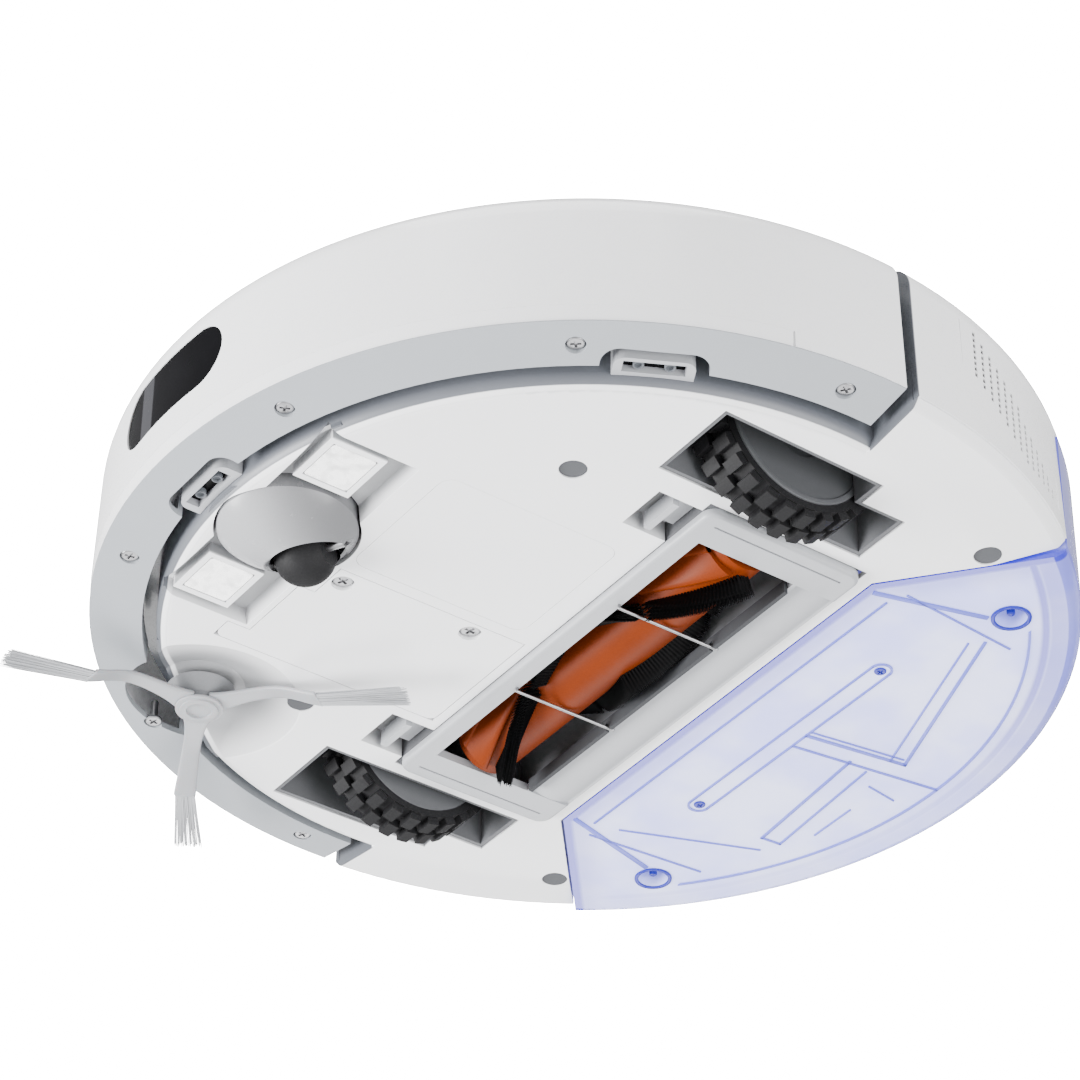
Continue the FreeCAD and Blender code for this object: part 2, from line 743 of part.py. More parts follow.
# ---------------------------------------------------------------- drive wheels
def wheel_module(name, side):
    """A swing arm and the wheel: rim, tyre and axle; returns the well's liner and the arm's pin."""
    liner = cut(
        "liner_" + name,
        slab("liner_block_" + name, well_corners(side, -0.3), "underside + 0.6", "deck_height - underside - 4"),
        slab("liner_hollow_" + name, well_corners(side, -1.9), "underside - 1", "deck_height - underside - 4"),
    )

    inner = size("wheel_inner")
    outer = inner + size("wheel_width")
    height = size("wheel_radius")
    arm_in, arm_out = size("well_inner") + 2.2, inner - 1.0
    pivot = Vector(0, size("pivot_back"), size("pivot_height"))
    hub = Vector(0, 0, height)
    along = Vector(side, 0, 0)

    def disc(radius, start, end, centre):
        return Part.makeCylinder(radius, end - start, centre + along * start, along)

    web = Part.makePolygon(
        [
            Vector(side * arm_in, pivot.y - 2, pivot.z + 7),
            Vector(side * arm_in, hub.y - 4, hub.z + 15),
            Vector(side * arm_in, hub.y + 4, hub.z - 15),
            Vector(side * arm_in, pivot.y + 2, pivot.z - 7),
            Vector(side * arm_in, pivot.y - 2, pivot.z + 7),
        ]
    )
    arm = Part.Face(web).extrude(along * (arm_out - arm_in))
    for solid in (disc(7.2, arm_in, arm_out, pivot), disc(16, arm_in, arm_out, hub), disc(15, arm_out - 0.2, outer - 5, hub)):
        arm = arm.fuse(solid)
    arm = arm.cut(disc(3.05, arm_in - 1, arm_out + 1, pivot)).cut(disc(3.05, arm_in - 1, outer, hub))
    node(feature("swing_arm_" + name, arm.removeSplitter()), "swing_arm_" + name)
    pin = disc(3.0, size("well_inner") + 1.95, arm_out + 0.8, pivot).fuse(disc(4.2, arm_out + 0.15, arm_out + 0.8, pivot))

    rim = disc(28.2, inner, outer + 0.6, hub).cut(disc(25.8, inner - 1, outer - 4.4, hub))
    cap_edges = [e for e in rim.Edges if hasattr(e.Curve, "Radius") and e.Curve.Radius > 28 and abs(abs(e.CenterOfMass.x) - outer) < 0.7]
    rim = rim.makeFillet(1.4, cap_edges).fuse(disc(3.0, arm_in + 0.5, outer - 2, hub))
    node(feature("wheel_rim_" + name, rim.removeSplitter()), "wheel_rim_" + name)

    band = disc(31.0, inner, outer, hub).cut(disc(28.2, inner - 1, outer + 1, hub))
    lugs, count = [], 26
    for row in range(2):
        for i in range(count):
            lug = Part.makeBox(7.2, 4.4, 4.2, Vector(inner + 0.4 + 8.5 * row, -2.2, -4.2 + (30.2 + 3.8)))
            if side < 0:
                lug = lug.mirror(Vector(), Vector(1, 0, 0))
            lug.rotate(Vector(), Vector(1, 0, 0), 360.0 / count * (i + 0.5 * row))
            lug.translate(Vector(0, 0, height))
            lugs.append(lug.common(disc(size("wheel_radius"), inner, outer, hub)))
    tyre = band.fuse(lugs)
    node(feature("tyre_" + name, tyre.removeSplitter()), "tyre_" + name)
    return liner, pin.removeSplitter()


# ---------------------------------------------------------------- caster
def caster():
    """The front caster: a domed swivel with a stem, and its ball wheel on a pin."""
    turn = facing(size("caster_turn"))
    wheel_at = turn.multVec(Vector(0, size("caster_trail"), 0)) + Vector(0, size("caster_back"), size("caster_wheel"))
    across = turn.multVec(Vector(1, 0, 0))
    centre = Vector(0, size("caster_back"), 0)
    drum = Part.makeCylinder(24.2, 14, centre + Vector(0, 0, 18))
    dome = Part.makeSphere(34, centre + Vector(0, 0, 37.6)).common(Part.makeCylinder(24.2, 20, centre))
    swivel = drum.fuse(dome)
    lip = across * 2.5 + turn.multVec(Vector(0, 2.5, 0))
    room = Part.makeSphere(12.0, wheel_at).fuse(Part.makeCylinder(12.0, 30, wheel_at - Vector(0, 0, 30)))
    mouth = Part.makeCone(17.5, 13.0, 9, wheel_at + lip - Vector(0, 0, 9))
    hollow = Part.makeSphere(13.5, wheel_at + lip - Vector(0, 0, 1))
    swivel = swivel.cut(room.fuse(mouth).fuse(hollow.common(Part.makeCylinder(20.5, 40, centre))))
    pin_hole = Part.makeCylinder(1.55, 34, wheel_at - across * 17, across)
    swivel = swivel.cut(pin_hole).fuse(Part.makeCylinder(4.2, 13, centre + Vector(0, 0, 30)))
    node(feature("caster_swivel", swivel.removeSplitter()), "caster_swivel")
    pin = Part.makeCylinder(1.5, 30, wheel_at - across * 14.5, across)
    node(feature("caster_pin", pin), "caster_pin")
    ball = Part.makeSphere(size("caster_wheel"), wheel_at)
    for direction in (1, -1):
        ball = ball.cut(Part.makeCylinder(20, 10, wheel_at + across * (9.0 * direction), across * direction))
    ball = ball.cut(Part.makeCylinder(1.56, 30, wheel_at - across * 15, across))
    node(feature("caster_ball", ball), "caster_ball")


# ---------------------------------------------------------------- roller and its guard
def roller():
    """The bristle roller: core with end journals, bristle rows, and the drive end."""
    half = size("mouth_half") - 2
    y, z = size("roller_back"), size("roller_height")
    axis = Vector(1, 0, 0)
    core = Part.makeCylinder(size("roller_core"), 2 * half, Vector(-half, y, z), axis)
    core = core.fuse(Part.makeCylinder(5, 2 * half + 16, Vector(-half - 8, y, z), axis))
    node(feature("roller_core", core.removeSplitter()), "roller_core")
    rows = []
    steps, twist = 19, 120.0
    length = 7.7
    first = -steps * length / 2
    for start in (75, 222):
        for i in range(steps):
            tall = size("roller_tip") - size("roller_core") - 0.35
            corner = Vector(first + i * length + 0.95, -2, size("roller_core") + 0.1)
            block = Part.makeBox(length - 1.9, 4, tall, corner)
            block.rotate(Vector(), axis, start + twist * abs(2 * i + 1 - steps) / steps)
            block.translate(Vector(0, y, z))
            rows.append(block)
    node(feature("roller_bristles", group(rows)), "roller_bristles")
    bearings = []
    for side in SIDES.values():
        start = Vector(side * (half + 3), y, z)
        bearing = Part.makeCylinder(8.5, 8, start, Vector(side, 0, 0))
        bearing = bearing.fuse(Part.makeBox(8, 17, 13, Vector(start.x if side > 0 else start.x - 8, y - 8.5, z)))
        bearing = bearing.cut(Part.makeCylinder(5.05, 6, start - Vector(side * 0.5, 0, 0), Vector(side, 0, 0)))
        bearings.append(bearing.removeSplitter())
    node(feature("roller_bearings", group(bearings)), "roller_bearings")


def brush_chamber():
    """The dark arched tunnel that the roller turns in."""
    half = size("guard_half")
    y, z = size("roller_back"), size("roller_height")
    low = size("underside") + 0.4
    block = Part.makeBox(2 * half, size("guard_rear") - size("guard_front"), 34, Vector(-half, size("guard_front"), low))
    mouth = size("mouth_half") + 7.5
    tunnel = Part.makeCylinder(22, 2 * mouth, Vector(-mouth, y, z), Vector(1, 0, 0))
    slot = Part.makeBox(2 * mouth, 44, z - low + 2, Vector(-mouth, y - 22, low - 2))
    ends = Part.makeBox(2 * half + 2, 28, 24, Vector(-half - 1, y - 14, low - 2))
    duct = Part.makeBox(56, 40, 11, Vector(-28, y + 10, z + 2))
    rear_seat = Part.makeBox(2 * half + 2, 20, 4, Vector(-half - 1, size("guard_rear") - 19, low - 1))
    shape = block.cut(tunnel.fuse(slot)).cut(ends).cut(duct).cut(rear_seat)
    node(feature("brush_chamber", shape.removeSplitter()), "brush_chamber")


def roller_guard():
    """The clip-off guard: frame, comb wires, rear wiper and two latches."""
    top = size("underside") + 0.2
    low = size("underside") - size("guard_drop")
    half, front, rear = size("guard_half"), size("guard_front"), size("guard_rear")
    frame = Part.makeBox(2 * half, rear - front, top - low, Vector(-half, front, low))
    frame = frame.makeFillet(5.5, [e for e in frame.Edges if vertical(e)])
    frame = frame.makeFillet(1.6, [e for e in frame.Edges if e.BoundBox.ZLength < 0.01 and abs(e.BoundBox.ZMin - low) < 0.01])
    mouth = Part.makeBox(2 * size("mouth_half"), size("mouth_rear") - size("mouth_front"), 20, Vector(-size("mouth_half"), size("mouth_front"), 0))
    frame = frame.cut(mouth)
    middle = (size("mouth_rear") + rear) / 2
    span = Vector(-size("mouth_half"), middle - 8, low - 1)
    sunk = Part.makeBox(2 * size("mouth_half"), 20, 2.2, span)
    bar = Part.makeCylinder(30, 2 * size("mouth_half"), Vector(-size("mouth_half"), middle, low + 30.1), Vector(1, 0, 0))
    bar = bar.common(Part.makeBox(2 * size("mouth_half"), 18.4, 2.6, Vector(-size("mouth_half"), middle - 9.2, low)))
    frame = frame.cut(sunk).fuse(bar)
    for side in SIDES.values():
        groove = Part.makeBox(0.8, rear - front - 12, 0.8, Vector(side * 89 - 0.4, front + 6, low - 0.01))
        frame = frame.cut(groove)
    wires = []
    ends = (size("mouth_front") - 0.9, size("mouth_rear") + 0.9)
    for x in WIRES:
        wire = Part.makeCylinder(0.6, ends[1] - ends[0], Vector(x, ends[0], low - 1.4), Vector(0, 1, 0))
        for y in ends:
            wire = wire.fuse(Part.makeSphere(0.6, Vector(x, y, low - 1.4)))
            wire = wire.fuse(Part.makeCylinder(0.6, 2.8, Vector(x, y, low - 1.4)))
            frame = frame.cut(Part.makeCylinder(0.6, 1.4, Vector(x, y, low - 0.001)))
        wires.append(wire.removeSplitter())
    node(feature("guard_frame", frame.removeSplitter()), "guard_frame")
    node(feature("guard_wires", group(wires)), "guard_wires")
    wiper = Part.makeBox(2 * size("mouth_half") - 6, 1.6, 5, Vector(-size("mouth_half") + 3, size("mouth_rear") - 1.7, low - 2.2))
    for x in WIRES:
        wiper = wiper.cut(Part.makeBox(1.8, 8, 3.2, Vector(x - 0.9, size("mouth_rear") - 4, low - 2.3)))
    node(feature("guard_wiper", wiper), "guard_wiper")
    for name, side in SIDES.items():
        tab = Part.makeBox(16.5, 2.6, 6.4, Vector(side * 80.5 - 8.25, -27.6, low + 2.6))
        tab = tab.fuse(Part.makeBox(12, 9.0, 1.6, Vector(side * 80.5 - 6, -26, low + 7.4)))
        node(feature("guard_latch_" + name, tab.removeSplitter()), "guard_latch_" + name)


# ---------------------------------------------------------------- side brush
def side_brush():
    """The three-arm sweeper: hub with shaft, three soft arms, three bristle tufts and its screw."""
    x, y = size("sweeper_side"), size("sweeper_back")
    plane = size("underside")
    centre = Vector(x, y, 0)
    hub = Part.makeCone(6.4, 12.5, 5.6, centre + Vector(0, 0, plane - 0.4))
    hub = hub.fuse(Part.makeCylinder(7.4, 3.4, centre + Vector(0, 0, plane - 2.6)))
    hub = hub.fuse(Part.makeCylinder(4, 22, centre + Vector(0, 0, plane + 4)))
    hub = hub.cut(Part.makeCylinder(3.4, 2.4, centre + Vector(0, 0, plane - 3)))
    node(feature("sweeper_hub", hub.removeSplitter()), "sweeper_hub")
    screw = Part.makeCylinder(2.9, 1.3, centre + Vector(0, 0, plane - 1.9))
    node(feature("sweeper_screw", screw), "sweeper_screw")
    path = [(6.6, plane - 1.2), (24, plane - 1.6), (36, plane - 4.4), (46.6, plane - 9.2)]
    tuft = [(46.7, plane - 9.6), (60, plane - 11.4), (size("sweeper_reach"), plane - 12)]
    arms, tufts = [], []
    for number in range(3):
        turn = size("sweeper_turn") + 120 * number
        arm = ribbon(path, 2.3, (7.0, 7.4, 7.0, 6.4))
        arm = arm.cut(Part.makeCylinder(7.5, 60, Vector(0, 0, -20)))
        bristle = ribbon(tuft, 1.3, (5.2, 6.0, 7.5))
        for shape, kept in ((arm, arms), (bristle, tufts)):
            shape.rotate(Vector(), Vector(0, 0, 1), turn)
            shape.translate(centre)
            kept.append(shape)
    node(feature("sweeper_arms", group(arms)), "sweeper_arms")
    node(feature("sweeper_tufts", group(tufts)), "sweeper_tufts")


def ribbon(path, thick, widths):
    """A strap that runs to the front along (reach, height) points, with a width at each."""
    rings = []
    for (reach, height), width in zip(path, widths):
        corners = [(-width / 2, -thick / 2), (width / 2, -thick / 2), (width / 2, thick / 2), (-width / 2, thick / 2)]
        points = [Vector(a, -reach, height + b) for a, b in corners]
        rings.append(Part.makePolygon(points + points[:1]))
    return Part.makeLoft(rings, True, True)


# ---------------------------------------------------------------- rear box
def tank():
    """The rear water and dust box: clear shell, cover plate, filter, pump, screws and latch button."""
    round_wall = size("body_radius") - 0.4
    low, top, skin = size("underside") + 0.1, size("tank_top"), size("tank_skin")

    def block(gap, radius, bottom, height):
        plan = slab("tank_plan%d" % len(doc.Objects), tank_corners(-gap), 0, 10)
        doc.recompute()
        prism = face_at(plan.Shape, 0.0).extrude(Vector(0, 0, height))
        prism.translate(Vector(0, 0, bottom))
        return prism.common(Part.makeCylinder(radius, 200))

    outer = block(0.2, round_wall, low, top - low)
    foot = [e for e in outer.Edges if e.BoundBox.ZLength < 0.01 and abs(e.BoundBox.ZMin - low) < 0.01]
    curved = [e for e in foot if hasattr(e.Curve, "Radius") and e.Curve.Radius > 100]
    outer = outer.makeFillet(5.0, curved)
    inner = block(0.2 + skin, round_wall - skin, low + skin, top - low - 2 * skin)
    shell = outer.cut(inner)
    for side in SIDES.values():
        spot = Vector(side * size("socket_reach"), size("socket_back"), 0)
        boss = Part.makeCylinder(size("socket_radius") + 1.8, 14, spot + Vector(0, 0, low))
        shell = shell.fuse(boss).cut(Part.makeCylinder(size("socket_radius"), 12, spot + Vector(0, 0, low - 0.5)))
    shell = shell.cut(Part.makeBox(60, 20, 14, Vector(-30, size("tank_front") - 8, 34)))
    shell = shell.cut(Part.makeCylinder(9.4, 12, Vector(0, round_wall - 8, 52), Vector(0, 1, 0)))
    node(feature("tank_shell", shell.removeSplitter()), "tank_shell")

    tray = block(9.5, round_wall - 12, low + skin + 0.05, 10)
    tray = tray.cut(block(11, round_wall - 13.5, low + skin + 1.5, 20))
    for side in SIDES.values():
        spot = Vector(side * size("socket_reach"), size("socket_back"), 0)
        tray = tray.cut(Part.makeCylinder(size("socket_radius") + 3.4, 60, spot))
        tray = tray.cut(Part.makeCylinder(1.9, 60, Vector(side * 52.7, 90.8, 0)))
    node(feature("tank_tray", tray.removeSplitter()), "tank_tray")
    screws = []
    for side in SIDES.values():
        spot = Vector(side * 52.7, 90.8, low + skin)
        screws.append(Part.makeCylinder(3.2, 1.6, spot + Vector(0, 0, 1.65)).fuse(Part.makeCylinder(1.5, 8, spot + Vector(0, 0, 0.2))))
    node(feature("tank_screws", group(screws)), "tank_screws")
    pump = Part.makeBox(34, 26, 18, Vector(-52, 122, low + skin + 1.6))
    pump = pump.makeFillet(2.5, [e for e in pump.Edges if vertical(e)])
    node(feature("tank_pump", pump), "tank_pump")
    dust = Part.makeBox(150, 34, 30, Vector(-75, 64, 30))
    dust = dust.cut(Part.makeBox(146, 30, 26, Vector(-73, 66, 32))).cut(Part.makeBox(56, 10, 12, Vector(-28, 60, 35)))
    node(feature("dust_box", dust), "dust_box")
    pleats = [Part.makeBox(2.2, 14, 20, Vector(-50 + 5 * i, 100, 32)) for i in range(21)]
    back = Part.makeBox(110, 2, 24, Vector(-55, 98.1, 30))
    node(feature("dust_filter", back.fuse(pleats).removeSplitter()), "dust_filter")
    button = Part.makeCylinder(9, 9, Vector(0, round_wall - 8.4, 52), Vector(0, 1, 0))
    button = button.common(Part.makeCylinder(round_wall - 0.5, 200))
    node(feature("tank_button", button), "tank_button")


def face_at(shape, height):
    """The flat face of a shape that lies at a height."""
    return [f for f in shape.Faces if f.BoundBox.ZLength < 0.01 and abs(f.BoundBox.ZMin - height) < 0.01][0]


# ---------------------------------------------------------------- turret, buttons and inner parts
def turret():
    """The scanning turret: base, rotor and sprung cap, and the two deck buttons."""
    back, radius, deck, top = (size(k) for k in ("turret_back", "turret_radius", "deck_height", "turret_top"))
    centre = Vector(0, back, 0)
    base = Part.makeCylinder(radius, 5, centre + Vector(0, 0, deck - 3)).cut(Part.makeCylinder(36, 3.2, centre + Vector(0, 0, deck - 1.1)))
    base = base.cut(Part.makeCylinder(5.2, 20, centre + Vector(0, 0, deck - 8)))
    legs = [centre + polar(41.5, 45 + 90 * i) for i in range(4)]
    for spot in legs:
        base = base.cut(Part.makeCylinder(2.9, 20, spot + Vector(0, 0, deck - 8)))
    node(feature("turret_base", base), "turret_base")
    rotor = Part.makeCylinder(34, 8.6, centre + Vector(0, 0, deck - 0.6)).fuse(Part.makeCylinder(5, 8, centre + Vector(0, 0, deck - 5)))
    window = Part.makeBox(20, 14, 6, Vector(-10, back - 36, deck + 1.4))
    node(feature("lidar_rotor", rotor.cut(window).removeSplitter()), "lidar_rotor")
    cap = Part.makeCylinder(radius, 5, centre + Vector(0, 0, top - 5))
    cap = cap.makeFillet(3.2, [e for e in cap.Edges if abs(e.BoundBox.ZMin - top) < 0.01 and e.BoundBox.ZLength < 0.01])
    cap = cap.cut(Part.makeCylinder(36.5, 2.4, centre + Vector(0, 0, top - 5.01)))
    for spot in legs:
        cap = cap.fuse(Part.makeCylinder(2.6, top - deck - 2.5, spot + Vector(0, 0, deck - 0.5)))
    node(feature("turret_cap", cap.removeSplitter()), "turret_cap")
    for label, x in (("power_button", 12), ("home_button", -12)):
        button = Part.makeCylinder(size("button_radius"), 3.4, Vector(x, size("button_back"), deck - 1.8))
        button = button.makeFillet(0.8, [e for e in button.Edges if e.BoundBox.ZMin > deck + 1 and e.BoundBox.ZLength < 0.01])
        node(feature(label, button), label)


def inner_parts():
    """What the robot holds inside: battery, board, gearboxes, fan and bumper switches."""
    floor = "underside + skin"
    node(round_edges("battery_round", box("battery_block", -63, -101, floor + " + 0.3", 44, 79, 21), 4, vertical), "battery_pack")
    board = box("board_plate", -62, -108, 48, 124, 84, 1.6)
    chips = [box("chip%d" % i, x, y, 49.6, dx, dy, dz) for i, (x, y, dx, dy, dz) in enumerate([(-40, -90, 18, 18, 1.4), (-8, -80, 14, 14, 1.4), (22, -96, 24, 10, 6), (30, -62, 16, 20, 3)])]
    node(fuse("board_union", board, *chips), "main_board")
    node(
        cut("brush_gear_cut", box("brush_gear_box", -98, -22, 50, 30, 62, 22), cylinder("brush_gear_relief", 3, 80, -90, "pivot_back", 0)),
        "roller_gearbox",
    )
    node(
        cut(
            "sweeper_gear",
            common(
                "sweeper_gear_trim",
                cylinder("sweeper_gear_drum", 15, 20, "sweeper_side", "sweeper_back", "underside + 12.3"),
                cylinder("sweeper_gear_limit", 148.4, 90, 0, 0, 0),
            ),
            cylinder("sweeper_gear_bore", 4.06, 15, "sweeper_side", "sweeper_back", "underside + 12"),
        ),
        "sweeper_gearbox",
    )
    node(
        cut(
            "fan_shell",
            cylinder("fan_drum", 19, 32, 137, 63, 36),
            cylinder("fan_hollow", 17, 28, 137, 63, 38),
            cylinder("fan_eye", 8, 10, 137, 63, 30),
        ),
        "fan_housing",
    )
    hub = Part.makeCylinder(5, 24, Vector(137, 63, 39))
    blades = []
    for i in range(9):
        blade = Part.makeBox(10.5, 1.2, 20, Vector(4.5, -0.6, 40))
        blade.rotate(Vector(), Vector(0, 0, 1), 40 * i)
        blade.translate(Vector(137, 63, 0))
        blades.append(blade)
    node(feature("fan_impeller", hub.fuse(blades).removeSplitter()), "fan_impeller")
    switches = []
    for side in SIDES.values():
        switch = Part.makeBox(12, 6, 8, Vector(-6, -size("deck_radius") - 6.2, 45))
        switch = switch.fuse(Part.makeCylinder(1.2, 3.2, Vector(0, -size("deck_radius") - 6.2, 49), Vector(0, -1, 0)))
        switch.rotate(Vector(), Vector(0, 0, 1), 38 * side)
        switches.append(switch.removeSplitter())
    node(feature("bumper_switches", group(switches)), "bumper_switches")


def main():
    """Builds every sub-part, checks each one and writes its STEP file."""
    bottom_chassis()
    mid_shell()
    exhaust_grille()
    top_cover()
    small_covers()
    charge_contacts()
    cliff_sensors()
    bumper()
    modules = [wheel_module(name, side) for name, side in SIDES.items()]
    node(compound("wheel_liners", [liner for liner, pin in modules]), "wheel_liners")
    node(feature("pivot_pins", group([pin for liner, pin in modules])), "pivot_pins")
    caster()
    roller()
    brush_chamber()
    roller_guard()
    side_brush()
    tank()
    turret()
    inner_parts()
    doc.recompute()

    failed = [o.Name for o in doc.Objects if "Invalid" in o.State or "Error" in o.State]
    if failed:
        raise RuntimeError("failed objects: %s" % failed)
    os.makedirs("parts", exist_ok=True)
    for label, obj in NODES:
        shape = obj.Shape
        if shape.isNull() or not shape.isValid() or not shape.Solids:
            raise RuntimeError("%s has no valid solid" % label)
        shape.exportStep("parts/%s.step" % label)
        print("%-22s %2d solids %10.1f mm3" % (label, len(shape.Solids), shape.Volume))
    print(len(NODES), "nodes")


main()
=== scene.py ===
"""The looks of a robot vacuum: finishes for its CAD parts, fine pieces, light and camera."""
import json
import logging
import math
import random
from collections.abc import Callable, Mapping, Sequence
from dataclasses import dataclass, field
from enum import Enum

import bmesh
import bpy
from mathutils import Matrix, Vector


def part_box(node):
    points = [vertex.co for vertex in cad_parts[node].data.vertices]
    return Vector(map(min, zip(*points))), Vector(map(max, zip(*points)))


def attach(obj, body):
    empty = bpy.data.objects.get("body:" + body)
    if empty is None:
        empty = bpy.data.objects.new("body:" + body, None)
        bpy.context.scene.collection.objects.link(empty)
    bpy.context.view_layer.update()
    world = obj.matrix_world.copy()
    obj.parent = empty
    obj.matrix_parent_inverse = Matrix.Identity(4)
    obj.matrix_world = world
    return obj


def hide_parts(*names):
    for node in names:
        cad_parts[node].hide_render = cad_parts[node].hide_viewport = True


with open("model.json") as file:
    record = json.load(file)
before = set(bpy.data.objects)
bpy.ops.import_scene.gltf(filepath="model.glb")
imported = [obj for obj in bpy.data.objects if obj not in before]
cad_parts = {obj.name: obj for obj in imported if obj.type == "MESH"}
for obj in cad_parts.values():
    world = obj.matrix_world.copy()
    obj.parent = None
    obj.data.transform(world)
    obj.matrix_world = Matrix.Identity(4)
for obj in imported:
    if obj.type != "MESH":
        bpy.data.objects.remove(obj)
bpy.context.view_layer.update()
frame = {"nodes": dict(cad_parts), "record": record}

LOG = logging.getLogger("robot_vacuum")
MM = 0.001

Colour = tuple[float, float, float]
Point = tuple[float, float, float]
Part = bpy.types.Object
Span = tuple[float, float]
Band = tuple[float, float, float]
FaceTest = Callable[[bmesh.types.BMFace], bool]


# ------------------------------------------------------------------ shader maths
class Signal:
    """A shader socket's output that Python operators work on."""

    def __init__(self, graph: "Graph", socket: bpy.types.NodeSocket) -> None:
        """Wraps one output socket of a graph's node."""
        self.graph = graph
        self.socket = socket

    def math(self, operation: str, *values: "Signal | float") -> "Signal":
        """Adds a Math node whose first value is this signal.

        Args:
            operation: The node's operation.
            values: The node's other values.

        Returns:
            The node's result.
        """
        return self.graph.math(operation, self, *values)

    def __add__(self, other: "Signal | float") -> "Signal":
        """self + other."""
        return self.math("ADD", other)

    def __sub__(self, other: "Signal | float") -> "Signal":
        """self - other."""
        return self.math("SUBTRACT", other)

    def __mul__(self, other: "Signal | float") -> "Signal":
        """self * other."""
        return self.math("MULTIPLY", other)

    def __rsub__(self, other: float) -> "Signal":
        """other - self."""
        return self.graph.math("SUBTRACT", other, self)

    def __abs__(self) -> "Signal":
        """abs(self)."""
        return self.math("ABSOLUTE")

    __radd__ = __add__
    __rmul__ = __mul__


class Graph:
    """A material's nodes, added one expression at a time."""

    def __init__(self, name: str) -> None:
        """Starts an empty material.

        Args:
            name: The material's name.
        """
        self.material = bpy.data.materials.new(name)
        self.material.use_nodes = True
        self.tree = self.material.node_tree
        self.tree.nodes.clear()
        self.place = self.node("ShaderNodeTexCoord", output="Object")

    def node(
        self,
        kind: str,
        settings: Mapping[str, object] | None = None,
        inputs: Mapping[int | str, object] | None = None,
        output: int | str = 0,
    ) -> Signal:
        """Adds a node.

        Args:
            kind: The node's type.
            settings: Its own settings, set first.
            inputs: A value or a signal for each socket named.
            output: The socket that is returned.

        Returns:
            The chosen output.
        """
        made = self.tree.nodes.new(kind)
        for key, value in (settings or {}).items():
            setattr(made, key, value)
        for key, value in (inputs or {}).items():
            if isinstance(value, Signal):
                self.tree.links.new(value.socket, made.inputs[key])
            else:
                made.inputs[key].default_value = value
        return Signal(self, made.outputs[output])

    def math(self, operation: str, *values: Signal | float) -> Signal:
        """Adds a Math node over these values."""
        return self.node("ShaderNodeMath", {"operation": operation}, dict(enumerate(values)))

    def noise(self, scale: float, detail: float = 2.0, place: Signal | None = None) -> Signal:
        """Smooth noise from 0 to 1, at scale waves a metre."""
        inputs = {"Vector": place or self.place, "Scale": scale, "Detail": detail}
        return self.node("ShaderNodeTexNoise", inputs=inputs)

    def cells(self, scale: float) -> Signal:
        """Distance to the nearest of scattered points, at scale points a metre."""
        return self.node("ShaderNodeTexVoronoi", inputs={"Vector": self.place, "Scale": scale})

    def axes(self) -> tuple[Signal, Signal, Signal]:
        """Splits the place on the object.

        Returns:
            X, Y and Z in metres.
        """
        split = self.node("ShaderNodeSeparateXYZ", inputs={0: self.place})
        outputs = split.socket.node.outputs
        return tuple(Signal(self, outputs[i]) for i in range(3))

    @staticmethod
    def radius(x: Signal, y: Signal) -> Signal:
        """Distance from the robot's upright axis."""
        return (x * x + y * y).math("SQRT")

    def step(self, value: Signal, low: float, high: float) -> Signal:
        """0 below low, 1 above high, and smooth between them."""
        inputs = {0: value, 1: low, 2: high, 3: 0.0, 4: 1.0}
        return self.node("ShaderNodeMapRange", {"interpolation_type": "SMOOTHSTEP"}, inputs)

    def fade(self, value: Signal, band: Band) -> Signal:
        """A smooth step from 0 at the band's start to its depth at its end."""
        return self.step(value, band[0], band[1]) * band[2]

    def mix(self, mask: Signal | float, low: Signal | Colour, high: Signal | Colour) -> Signal:
        """Blends two colours.

        Args:
            mask: How much of the second colour shows, from 0 to 1.
            low: The colour where the mask is 0.
            high: The colour where the mask is 1.

        Returns:
            The blend.
        """
        ends = [c if isinstance(c, Signal) else (*c, 1.0) for c in (low, high)]
        inputs = {0: mask, 6: ends[0], 7: ends[1]}
        return self.node("ShaderNodeMix", {"data_type": "RGBA"}, inputs, output=2)

    def bump(self, height: Signal, distance: float) -> Signal:
        """A normal that follows height, which rises by distance in metres."""
        inputs = {"Height": height, "Distance": distance, "Strength": 1.0}
        return self.node("ShaderNodeBump", inputs=inputs)

    def finish(self, **inputs: object) -> bpy.types.Material:
        """Feeds a Principled shader and ends the material.

        Args:
            inputs: The shader's sockets, with underscores for spaces.

        Returns:
            The material.
        """
        named = {key.replace("_", " "): value for key, value in inputs.items()}
        for key, value in named.items():
            if isinstance(value, tuple) and len(value) == 3:
                named[key] = (*value, 1.0)
        shader = self.node("ShaderNodeBsdfPrincipled", inputs=named)
        self.node_output(shader)
        return self.material

    def node_output(self, shader: Signal) -> None:
        """Ends the material in this shader."""
        end = self.tree.nodes.new("ShaderNodeOutputMaterial")
        self.tree.links.new(shader.socket, end.inputs[0])


# ------------------------------------------------------------------ finishes
def darker(colour: Colour, share: float) -> Colour:
    """A colour brought down to a share of its brightness."""
    return tuple(channel * share for channel in colour)


